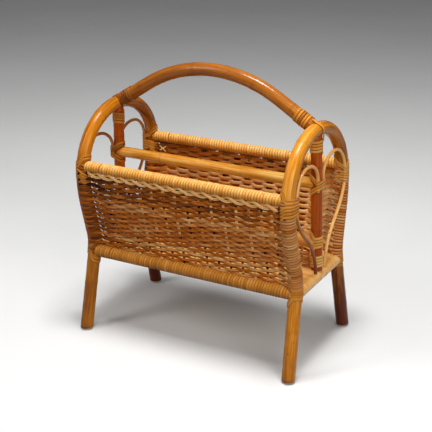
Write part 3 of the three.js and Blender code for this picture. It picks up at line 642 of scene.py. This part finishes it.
def coil(line, facing, start, stop, radius, pitch, thickness, hand=1, edge_shade_strength=0.8, painted_top_light=0.0, seam=0.0):
    """Grid, grain, tone and painted shade marks of a strand wound turn against turn along a pole, between two
    lengths of its line. The hand is the way it winds, the edge shade strength is how dark its edges are
    painted in the grooves, the painted top light is how much lighter its upper side is painted than its
    middle, and the seam is the gap where a new strand begins."""
    turns = round((stop - start) / pitch)
    angles = np.linspace(0, 2 * np.pi * turns, turns * turn_steps + 1)
    lengths = np.linspace(start, stop, len(angles)) + seam * np.clip(angles / (2 * np.pi) - seam_turn, 0, 1)
    path, turned = wound_path(line, facing, lengths, hand * angles, [(0, 0, radius)], thickness / 2)
    section = flat_section(pitch * turn_overlap, thickness, points=12, squareness=1.7)
    tones_and_painted_light = chance.normal(0, turn_tone_spread, turns + 1)[np.arange(len(angles)) // turn_steps]
    tones_and_painted_light = tones_and_painted_light + painted_top_light * turned[:, 2]
    return laid_strand(path, turned, section, chance.uniform(0, 9), tones_and_painted_light[:, None],
                       painted_edge_shade(section, edge_shade_strength))


for face, y_side in (("front", -1), ("back", 1)):
    for label, height, radius, wrap_tone in (("top", top_rail_height, top_rail_radius, 0.05),
                                             ("bottom", board_level, bottom_rail_radius, -0.14)):
        y = y_side * leg_half_width(height)
        grid, grain, ring = straight_rail(y, height, radius, rail_joints, rail_grain_start + y_side,
                                          pole_radius)
        place(skin(f"{label}_pole_{face}", grid, grain, ring=ring), russet_pole, "pole",
              f"{label}_rail_{face}")
        wrap_reach = end_x(height) - pole_radius + rail_wrap_overrun
        line = np.linspace([-wrap_reach, y, height], [wrap_reach, y, height], 3)
        # Painted light: each winding's upper side lighter than its underside, and painted shade at its edges.
        grid, grain, tone, painted_shade_marks = coil(
            line, upward, 0, 2 * wrap_reach, radius - rail_wrap_sink, rail_wrap_pitch, rail_wrap_thickness,
            hand=y_side, edge_shade_strength=0.7, painted_top_light=0.2, seam=seam_gap)
        from_pole = np.minimum(np.abs(grid[..., 1] - y), pole_radius)
        room = end_x(grid[..., 2]) - np.sqrt(pole_radius ** 2 - from_pole ** 2)
        grid[..., 0] = np.clip(grid[..., 0], -room, room)
        place(skin(f"{label}_winding_{face}", grid, grain, tone + wrap_tone, painted_shade_marks), rail_cane, "rail_wrap",
              f"{label}_rail_wrap_{face}")


# Lashings: a flat strand of split cane wound over each joint. Where a rail butts against the pole, the first
# turns pass under the rail and the others over it. A strand from the post's top lashing lies over each crest.
strand_width = 0.0048
strand_thickness = 0.0013
strand_pitch = 0.0053
strand_seat = 0.0002
crossing_share = 1.08
parting_reach = 1.75
parting_ease = 0.75
lashing_steps = 48
# Painted shade at the edges of the lashing strands.
lashing_edge_shade = 0.6
lashing_tone_spread = 0.07
strand_tone_swing = 0.05
strand_tone_length = 3.1
lashing_cane = cane_finish("lashing_cane", (92, 34, 2), (230, 150, 50), (255, 212, 128), streaks=0.6,
                           patches=0.4, varnish=0.15)


def smooth_step(values):
    """Values held between 0 and 1 and eased there: three times the square less twice the cube."""
    held = np.clip(values, 0, 1)
    return held * held * (3 - 2 * held)


def lashing(line, facing, middle, circles, turns, crossing=None):
    """Grid, grain, tone and painted shade marks of a lashing, the shade painted at each strand's edges. A
    crossing is the rail's radius, its place along the pole from the lashing's middle, and the number of turns
    under it.
    A turn keeps clear of the rail by the height of the rail's circle above it, and moves over to that height
    on the side that faces the rail."""
    angles = np.linspace(0, 2 * np.pi * turns, round(turns * lashing_steps) + 1)
    height = strand_pitch * (angles / (2 * np.pi) - turns / 2)
    if crossing:
        radius, offset, under = crossing
        way, reached = outermost(angles, circles)
        sideways = np.abs(reached[:, 1] + reached[:, 2] * way[:, 1])
        beside = np.maximum(sideways - strand_width / 2, 0)
        rise = np.sqrt(np.maximum((crossing_share * radius) ** 2 - beside ** 2, 0)) + strand_width / 2
        turn = np.floor(angles / (2 * np.pi))
        below = np.minimum(height, offset - rise - strand_pitch * (under - 1 - turn))
        above = np.maximum(height, offset + rise + strand_pitch * (turn - under))
        facing_rail = smooth_step((parting_reach - np.abs(angles % (2 * np.pi) - np.pi)) / parting_ease)
        height += facing_rail * (np.where(turn < under, below, above) - height)
    path, turned = wound_path(line, facing, middle + height, angles, circles,
                              strand_seat + strand_thickness / 2)
    section = flat_section(strand_width, strand_thickness)
    tone = chance.normal(0, lashing_tone_spread) + strand_tone_swing * np.sin(angles / strand_tone_length)
    return laid_strand(path, turned, section, chance.uniform(0, 9), tone[:, None],
                       painted_edge_shade(section, lashing_edge_shade))


def length_at_height(line, height):
    """Distance along the first rising part of a line to a height."""
    rising = line[:np.argmax(line[:, 2]) + 1]
    return np.interp(height, rising[:, 2], lengths_along(rising))


def joined_skin(name, parts):
    """One mesh from several skins, each given as grid, grain, tone and painted shade marks."""
    pieces = [bpy.data.objects.new(name, skin(name, *part)) for part in parts]
    for piece in pieces:
        bpy.context.scene.collection.objects.link(piece)
    with bpy.context.temp_override(active_object=pieces[0], selected_editable_objects=pieces):
        bpy.ops.object.join()
    mesh = pieces[0].data
    bpy.data.objects.remove(pieces[0])
    return mesh


def mirrored(strand, x_side, y_side, tone_shift=0.0):
    """A strand mirrored in x, in y or in both, with its tone shifted."""
    grid, grain, tone, painted_shade_marks = strand
    return in_quarter(grid, x_side, y_side), grain, tone + tone_shift, painted_shade_marks


def lash_ends(name, node, faces, *made_from, tones_and_painted_light=(-0.15, 0.0), beside=()):
    """Places a lashing, worked out for the right end, at both ends, each with its tone, and in front and
    behind where it has faces. The tones hold painted light: the left end darker than the right. Other strands
    of the same lashing are given beside it."""
    for x_side, end, end_painted_light in ((-1, "left", tones_and_painted_light[0]), (1, "right", tones_and_painted_light[1])):
        for y_side, face in faces:
            strands = [mirrored(strand, x_side, y_side, end_painted_light)
                       for strand in (lashing(*made_from), *beside)]
            place(joined_skin(f"{name}{face}_{end}", strands), lashing_cane, "lashing",
                  f"{node}{face}_{end}")


reed_radius = 0.003
reed_clearance = 0.0003


def reed_seat(radius, angle):
    """Where a reed's axis lies against a pole: the two radii and a clearance away, outwards by the sine and
    sideways by the cosine of an angle in degrees."""
    turn = math.radians(angle)
    return (radius + reed_radius + reed_clearance) * np.array([math.sin(turn), math.cos(turn)])


middle_only = ((1, ""),)
front_and_back = ((1, "_front"), (-1, "_back"))
pole_circle = (0, 0, pole_radius)
post_circle = (0, 0, post_radius)
reed_on_leg = reed_seat(pole_radius, angle=42)
reed_on_post = reed_seat(post_radius, angle=35) * [1, -1]
reeds_on_post = [(reed_on_post[0], side * reed_on_post[1], reed_radius) for side in (-1, 1)]
top_lashing_height = 0.319
post_top_lashing_height = 0.394
post_foot_lashing_height = 0.1819
handle_lashing_inset = 0.0168
crest_strand_lead = 0.014
crest_strand_end_height = 0.403
crest_strand_skew = (-0.004, 0.003)
crest_strand_breadth = 1.3
crest_strand_tone = 0.05
crest_strand_stations = 12

lash_ends("handle_binding", "handle_lashing", middle_only,
          handle_path, upward, lengths_along(handle_path)[-1] - handle_lashing_inset, [pole_circle], 5,
          tones_and_painted_light=(-0.35, -0.2))
strand_reach = pole_radius + strand_seat + strand_thickness / 2
handle_way = unit(handle_path[-1] - handle_path[-2])
crest_turn = np.linspace(
    math.atan2(-handle_way[2], handle_way[0]), np.pi / 2, crest_strand_stations)
crest_side = stacked(np.sin(crest_turn), 0.0, np.cos(crest_turn))
crest_facing = np.concatenate([crest_side[:1], crest_side, crest_side[-1:]])
crest_over = on_end(0.0, crest_height) + strand_reach * crest_side
crest_strand = np.concatenate([
    crest_over[:1] - crest_strand_lead * handle_way, crest_over,
    on_end(0.0, crest_strand_end_height, post_radius + strand_thickness)[None]])
crest_strand = crest_strand + stacked(0.0, np.linspace(*crest_strand_skew, len(crest_strand)), 0.0)
crest_section = flat_section(crest_strand_breadth * strand_width, strand_thickness)
crest_binding = laid_strand(crest_strand, crest_facing, crest_section, 3.0, crest_strand_tone,
                            painted_edge_shade(crest_section, lashing_edge_shade))
for label, height, turns, tones_and_painted_light, beside in (
        ("top", post_top_lashing_height, 4.5, (-0.15, 0.05), (crest_binding,)),
        ("foot", post_foot_lashing_height, 4, (-0.1, 0.3), ())):
    lash_ends(f"post_{label}_binding", f"post_{label}_lashing", middle_only,
              post_path, toward_right, length_at_height(post_path, height), [post_circle], turns,
              tones_and_painted_light=tones_and_painted_light, beside=beside)
for label, height, radius, tones_and_painted_light, beside in (
        ("upper", upper_rail_height, upper_rail_radius, (-0.15, 0.05), reeds_on_post),
        ("lower", lower_rail_height, lower_rail_radius, (-0.1, 0.25), [])):
    lash_ends(f"{label}_centre_binding", f"{label}_centre_lashing", middle_only,
              post_path, toward_right, length_at_height(post_path, height), [post_circle, *beside], 4,
              (radius, 0, 2), tones_and_painted_light=tones_and_painted_light)
for label, height, rail_height, radius, turns, under, beside in (
        ("top", top_lashing_height, top_rail_height, top_rail_radius, 6, 4, [(*reed_on_leg, reed_radius)]),
        ("bottom", board_level, board_level, bottom_rail_radius, 4, 2, [])):
    middle = length_at_height(arch_path, height)
    offset = length_at_height(arch_path, rail_height) - middle
    lash_ends(f"{label}_rail_binding", f"{label}_rail_lashing", front_and_back,
              arch_path, toward_right, middle, [pole_circle, *beside], turns,
              (radius + rail_wrap_thickness, offset, under))


# Scroll reeds: thin whole rattan, steamed and bent from the foot of the post out to the leg, up along it and
# back over in a loop down beside the post. Lashings hold them to the leg and the post.
reed_foot_half_width = 0.0175
reed_foot_stand_off = 0.006
reed_loop_top_height = 0.372
reed_meeting_height = 0.3008
reed_parting_height = 0.3372
reed_landing_height = 0.3392
reed_tail_height = 0.3154
reed_beside_stations = 12
reed_foot_pull_shares = (0.056, 0.6)
reed_leg_pull_shares = (0.72, 0.56)
reed_loop_side_pull_share = 0.4
reed_loop_top_pull_share = 0.65
reed_spacing = 0.002
reed_sink = 0.002
reed_sides = 16
reed_grain_step = 1.3
reed_tone_spread = 0.06
# Painted shade: the left reeds darker than the right, and the front reeds darker low down near the board.
reed_left_painted_shade = -0.4
reed_foot_shade = 0.42
reed_shade_height = 0.31
reed_shade_fade = 0.04
reed_finish = cane_finish("reed_finish", (126, 58, 10), (238, 170, 86), (255, 218, 148), varnish=0.3)


def bezier(*points, count=60):
    """Points of a cubic curve that four points pull. Their shares are the way left to the power of 3, 2, 1
    and 0 times the way along to the power of 0, 1, 2 and 3, and the middle two count three times."""
    t = np.linspace(0, 1, count)[:, None]
    return ((1 - t) ** 3 * points[0] + 3 * t * (1 - t) ** 2 * points[1]
            + 3 * t ** 2 * (1 - t) * points[2] + t ** 3 * points[3])


def beside_leg(height):
    """Axis of the reed where it lies against the front right leg, inwards from it and out from its plane."""
    probe = 0.0003
    spread = (leg_half_width(height + probe) - leg_half_width(height - probe)) / (2 * probe)
    inward = unit(stacked(1.0, spread)) * reed_on_leg[1]
    return on_end(inward[..., 0] - leg_half_width(height), height + inward[..., 1], reed_on_leg[0])


reed_beside = beside_leg(np.linspace(reed_meeting_height, reed_parting_height, reed_beside_stations))
reed_foot = on_end(-reed_foot_half_width, board_level, reed_foot_stand_off)
reed_meeting, reed_parting = reed_beside[0], reed_beside[-1]
reed_landing = on_end(reed_on_post[1], reed_landing_height, reed_on_post[0])
reed_tail = on_end(reed_on_post[1], reed_tail_height, reed_on_post[0])
reed_top = on_end((reed_parting[1] + reed_landing[1]) / 2, reed_loop_top_height,
                  (reed_on_leg[0] + reed_on_post[0]) / 2)


def reed_pull(shares):
    """A pulling point between the reed's foot and its meeting with the leg: a share across and a share up."""
    return reed_foot + (reed_meeting - reed_foot) * [shares[1], shares[0], shares[1]]


def onward_from(point, heading):
    """A pulling point that carries the loop on the way it was heading."""
    return point + unit(heading) * reed_loop_side_pull_share * (reed_top[2] - point[2])


def before_top(point):
    """A pulling point level with the loop's top, part of the way back to a point."""
    return reed_top + [0, (point[1] - reed_top[1]) * reed_loop_top_pull_share, 0]


reed_path = respaced(np.concatenate([
    bezier(reed_foot, reed_pull(reed_foot_pull_shares), reed_pull(reed_leg_pull_shares), reed_meeting),
    reed_beside[1:],
    bezier(reed_parting, onward_from(reed_parting, reed_beside[-1] - reed_beside[-2]),
           before_top(reed_parting), reed_top)[1:],
    bezier(reed_top, before_top(reed_landing), onward_from(reed_landing, reed_landing - reed_tail),
           reed_landing)[1:],
    reed_tail[None]]), reed_spacing)
reed_path = reed_path[reed_path[:, 2] > board_top - reed_sink]
reed_section = round_section(reed_radius, reed_sides)
reed_grain = grain_along(reed_path, reed_section)
reed_shade = reed_foot_shade * np.clip((reed_shade_height - reed_path[:, 2]) / reed_shade_fade, 0, 1)[:, None]
quarters = [(end, x_side, face, y_side) for face, y_side in (("front", 1), ("back", -1))
            for end, x_side in (("left", -1), ("right", 1))]
for number, (end, x_side, face, y_side) in enumerate(quarters):
    grid = in_quarter(sweep(reed_path, toward_right, reed_section), x_side, y_side)
    tone = chance.normal(0, reed_tone_spread) + (end == "left") * reed_left_painted_shade
    place(skin(f"scroll_cane_{face}_{end}", grid, reed_grain + [number * reed_grain_step, 0, 0],
               tone - (face == "front") * reed_shade),
          reed_finish, "reed", f"scroll_reed_{face}_{end}")


# Woven side panels: upright stakes of flat cane, and rows of weft before and behind them in turn. Near a leg
# the rows cross in pairs and pass round it, and the weft's end winds round the leg over them and on under the
# lashings. A light cross stitch mends the back panel near its left end.
stake_count = 16
stake_pitch = 2 * end_x(top_rail_height) / (stake_count + 1)
stake_width = 0.0052
stake_width_back = 0.0125
stake_thickness = 0.0022
plait_bottom = 0.31005
weave_bottom = 0.166
row_count = 28
row_pitch = (plait_bottom - weave_bottom) / row_count
row_width = 0.0049
row_width_back = 0.0070
row_thickness = 0.0024
# Each waver's rise, its rate along a row, and its step from row to row.
row_wavers = ((0.00025, 90, 2.1), (0.0002, 233, 4.7))
fullness_places = (-0.195, -0.188, -0.085, -0.06, 0.14, 0.158, 0.192, 0.197)
left_fullness = (1.25, 1.2)
row_tone_spread = 0.1
row_tone_swing = 0.06
row_tone_rate = 31
# Places and tones, read between: along a row, and by height. Both are painted light: along a row the weave
# # darker towards the left end and lighter towards the right, and by height a painted shadow of the top rail
# # over the upper rows, with the lowest rows a little lighter.
painted_light_along = ((-0.2, -0.14, 0.1, 0.2), (-0.3, -0.03, 0.03, 0.1))
painted_light_up = ((0.17, 0.2, 0.275, 0.3), (0.08, 0.03, 0, -0.22))
# Places along a row for the recess shade: painted shade on a row's face where it passes behind a stake.
recess_places = (0.04, 0.13)
stake_lift = 0.004
stake_stations = 40
weave_reach_height = 0.24
weave_swing = 0.0031
swing_along = ((-0.19, -0.12), (0.7, 1))
swing_fade = 3
bunched_pair = 0.75
last_row_height = 0.3130
pair_crossing_start = 0.170
pair_crossing_length = 0.016
pair_crossing_swing = 0.0014
leg_pass_start = 0.183
leg_pass_radius = 0.0131
weft_wrap_bottom = 0.148
weft_wrap_top = 0.333
weft_wrap_thickness = 0.0026
weft_wrap_sink = 0.0013
weft_wrap_tone = -0.03
# Painted light: the weft's winding lighter on the right leg than on the left.
weft_wrap_painted_light = 0.15
stitch_middle = (-0.178, 0.306)
stitch_half_length = 0.0075
stitch_stations = 7
stitch_slope = 0.7
stitch_depth = 0.0055
stitch_overlap = 0.0008
stitch_width = 0.0022
stitch_thickness = 0.0010
stitch_tone = 0.9
front_facing = np.array([0.0, -1.0, 0.0])
weave_cane = cane_finish("weave_cane", (46, 10, 0), (198, 106, 22), (255, 212, 140), streaks=0.65,
                         patches=0.55, sheen=(0.3, 0.5), varnish=0.12)

stake_x = (np.arange(stake_count) - (stake_count - 1) / 2) * stake_pitch


def woven_rows(heights, reach, spacing=0.002):
    """Places along each row, its swing before (1) and behind (-1) the stakes, a cosine, and its height, which
    wavers as two sines."""
    x = np.linspace(-reach, reach, round(2 * reach / spacing) + 1)
    row = np.arange(len(heights))[:, None]
    swing = np.where(row % 2, -1, 1) * np.cos(np.pi * (x - stake_x[0]) / stake_pitch)
    z = heights[:, None]
    for rise, rate, step in row_wavers:
        z = z + rise * np.sin(x * rate + row * step)
    return np.broadcast_to(x, z.shape), swing, z


row_heights = np.append(weave_bottom + row_pitch * (np.arange(row_count) + 0.5), last_row_height)
row_reach = end_x(weave_reach_height)
row_x, row_swing, row_z = woven_rows(row_heights, row_reach)
crossing = np.clip((np.abs(row_x) - pair_crossing_start) / pair_crossing_length, 0, 1)
upper_of_pair = np.where(np.arange(row_count + 1) % 2, 1, -1)[:, None]
passes_front = upper_of_pair * np.sign(row_x)
row_z = row_z + upper_of_pair * row_pitch * (1 + bunched_pair) / 4 * (np.cos(np.pi * crossing) - 1)
to_leg = smooth_step((np.abs(row_x) - leg_pass_start) / (row_reach - leg_pass_start))
row_held = (1 - smooth_step(crossing * swing_fade)) * np.interp(row_x, *swing_along)
row_out = (row_swing * weave_swing * row_held
           + passes_front * (pair_crossing_swing * np.sin(np.pi * crossing) + leg_pass_radius * to_leg))
row_path = stacked(row_x, -(leg_half_width(row_z) + row_out), row_z)

stake_z = np.linspace(board_level + stake_lift, plait_bottom + stake_lift, stake_stations)
stake_path = stacked(stake_x[:, None], -leg_half_width(stake_z), stake_z)


def row_painted_shade(section, swing, recess_shade):
    """Painted shade that darkens a row's edges, and its face by how far it swings away behind a stake."""
    out = section[..., 0] / np.abs(section[..., 0]).max()
    return np.maximum(painted_edge_shade(section), recess_shade * np.clip(-out * swing[..., None], 0, 1))


stitch_along = np.linspace(-1, 1, stitch_stations)
stitch_rise = stitch_slope * stitch_half_length * stitch_along * np.array([1, -1])[:, None]
stitch_height = stitch_middle[1] + stitch_rise
stitch_path = stacked(
    stitch_middle[0] + stitch_half_length * stitch_along,
    leg_half_width(stitch_height) - stitch_depth - stitch_overlap * np.array([0, 1])[:, None], stitch_height)
stitch_section = flat_section(stitch_width, stitch_thickness, points=8)
cross_stitch = laid_strand(stitch_path, front_facing, stitch_section, np.array([1.0, 2.0]), stitch_tone)

leg_start, leg_stop = (length_at_height(arch_path, height) for height in (weft_wrap_bottom, weft_wrap_top))
# Stake tones are a mean and a spread, and hold painted light. In front, a wide spread along each stake is
# partly random tone and partly bright specks between the rows as painted highlights. Behind, darker stakes
# are painted shade in the slots.
weaves = (("front", 1, row_width, stake_width, 1.0, 0.0, (0.05, 0.6), (0.55, 0.65)),
          ("back", -1, row_width_back, stake_width_back, 1.6, 0.2, (-0.35, 0.1), (0.35, 0.85)))
for face, y_side, width, width_of_stake, end_fullness, face_tone, stake_tones_and_painted_light, recess_shade in weaves:
    row_fullness = np.interp(
        row_x, fullness_places, (1, *left_fullness, 1, 1, end_fullness, end_fullness, 1))
    row_section = flat_section(width, row_thickness, squareness=2.2) * stacked(1, row_fullness)[..., None, :]
    stake_section = flat_section(width_of_stake, stake_thickness, points=8)
    row_tone_and_painted_light = (chance.normal(0, row_tone_spread, (row_count + 1, 1, 1))
                + row_tone_swing
                * np.sin(row_x * row_tone_rate + chance.uniform(0, 6, (row_count + 1, 1)))[..., None]
                + np.interp(row_x, *painted_light_along)[..., None]
                + np.interp(row_z, *painted_light_up)[..., None] + face_tone)
    rows = laid_strand(row_path, front_facing, row_section, chance.uniform(0, 9, row_count + 1), row_tone_and_painted_light,
                       row_painted_shade(row_section, row_swing, np.interp(row_x, recess_places, recess_shade)[..., None]))
    stakes = laid_strand(stake_path, front_facing, stake_section, chance.uniform(0, 9, stake_count),
                         chance.normal(*stake_tones_and_painted_light, (stake_count, stake_stations, 1)))
    parts = [mirrored(rows, 1, y_side), mirrored(stakes, 1, y_side)]
    for x_side in (-1, 1):
        leg_winding = coil(arch_path, toward_right, leg_start, leg_stop, pole_radius - weft_wrap_sink,
                           row_pitch, weft_wrap_thickness, edge_shade_strength=1.0)
        parts.append(mirrored(leg_winding, x_side, y_side, weft_wrap_tone + weft_wrap_painted_light * x_side))
    if face == "back":
        parts.append(cross_stitch)
    place(joined_skin(f"weave_{face}", parts), weave_cane, "weave", f"side_panel_{face}")


# Plaits: two pairs of light strands along the top of each panel, twisted round each other under the top rail,
# so that they cross at every stake.
plait_middle = 0.3172
plait_out = 0.0062
plait_swing = 0.0022
plait_climb = 0.0036
plait_strand_width = 0.0026
plait_strand_thickness = 0.0022
plait_end_gap = 0.0035
plait_stations = 260
plait_tone_spread = 0.06
plait_cane = cane_finish("plait_cane", (120, 62, 12), (248, 188, 110), (255, 226, 166), streaks=0.8,
                         patches=0.4)

plait_reach = end_x(plait_middle) - pole_radius - plait_end_gap
plait_x = np.linspace(-plait_reach, plait_reach, plait_stations)
plait_turn = np.pi * (plait_x / stake_pitch + 0.5 + np.array([0, 0, 1, 1])[:, None])
plait_spread = np.array([-1, 1, -1, 1])[:, None] * plait_strand_width / 2
plait_path = stacked(
    plait_x, -leg_half_width(plait_middle) - plait_out + plait_swing * np.cos(plait_turn),
    plait_middle + plait_climb * np.sin(plait_turn) + plait_spread)
plait_section = flat_section(plait_strand_width, plait_strand_thickness, points=8, squareness=2.1)
for face, y_side in (("front", 1), ("back", -1)):
    plait = laid_strand(plait_path, front_facing, plait_section, chance.uniform(0, 9, 4),
                        chance.normal(0, plait_tone_spread, (4, 1, 1)), painted_edge_shade(plait_section, 0.7))
    place(skin(f"plaited_edge_{face}", *mirrored(plait, 1, y_side)), plait_cane, "plait", f"plait_{face}")


# Divider: the same weave in straw-coloured cane, between the two compartments. Its stakes stand in the board
# and in the lower centre rail above it.
divider_rows = 7
divider_reach = 0.1965
divider_lift = 0.0028
divider_sink = 0.001
divider_stations = 12
divider_stake_tones = (-0.1, 0.05)
straw_cane = cane_finish("straw_cane", (96, 40, 8), (224, 156, 86), (250, 206, 148))

divider_heights = board_top + divider_lift + row_pitch * np.arange(divider_rows)
divider_x, divider_swing, divider_z = woven_rows(divider_heights, divider_reach)
divider_path = stacked(divider_x, -divider_swing * weave_swing, divider_z)
divider_stake_z = np.linspace(
    board_top - divider_sink, lower_rail_height - lower_rail_radius + divider_sink, divider_stations)
divider_stakes = stacked(stake_x[:, None], 0.0, divider_stake_z)
divider_row_section = flat_section(row_width, row_thickness, squareness=2.2)
divider_stake_section = flat_section(stake_width, stake_thickness, points=8)
place(joined_skin("divider_weave", [
    laid_strand(divider_path, front_facing, divider_row_section, chance.uniform(0, 9, divider_rows),
                chance.normal(0, row_tone_spread, (divider_rows, 1, 1)),
                row_painted_shade(divider_row_section, divider_swing, recess_shade=0.5)),
    laid_strand(divider_stakes, front_facing, divider_stake_section, chance.uniform(0, 9, stake_count),
                chance.normal(*divider_stake_tones, (stake_count, 1, 1)))]),
      straw_cane, "divider_weave", "divider_panel")


# Foot glides: turned pads of pale plastic with rounded edges, nailed under the legs to keep the poles off the
# floor.
glide_radius = 0.0105
glide_height = 0.004
glide_edge = 0.0008
glide_tints = (tint(150, 140, 122), tint(222, 214, 198))
glide_plastic, glide_shader = new_material("glide_plastic")
glide_tree = glide_plastic.node_tree
glide_place = add_node(glide_tree, "TexCoord", {}).outputs["Object"]
glide_wear = add_node(glide_tree, "TexNoise", {"Vector": glide_place, "Scale": 600.0, "Detail": 4.0})
glide_shade = mix_colours(glide_tree, glide_wear.outputs["Fac"], *glide_tints)
glide_tree.links.new(glide_shade, glide_shader.inputs["Base Color"])
glide_shader.inputs["Roughness"].default_value = 0.45

glide_rise, glide_run = glide_edge * (1 - np.cos(corner_angle)), glide_edge * (1 - np.sin(corner_angle))
glide_radii = glide_radius - np.concatenate([glide_run, glide_rise])
glide_z = np.concatenate([glide_rise, glide_height - glide_run])
glide_ring = round_section(glide_radii, pole_sides)
glide_x, glide_y = on_end(-leg_half_width(glide_height), glide_height)[:2]
glide_grid = stacked(glide_x + glide_ring[..., 0], glide_y + glide_ring[..., 1], glide_z[:, None])
for end, x_side, face, y_side in quarters:
    place(skin(f"foot_pad_{face}_{end}", in_quarter(glide_grid, x_side, y_side), glide_grid),
          glide_plastic, "glide", f"foot_glide_{face}_{end}")
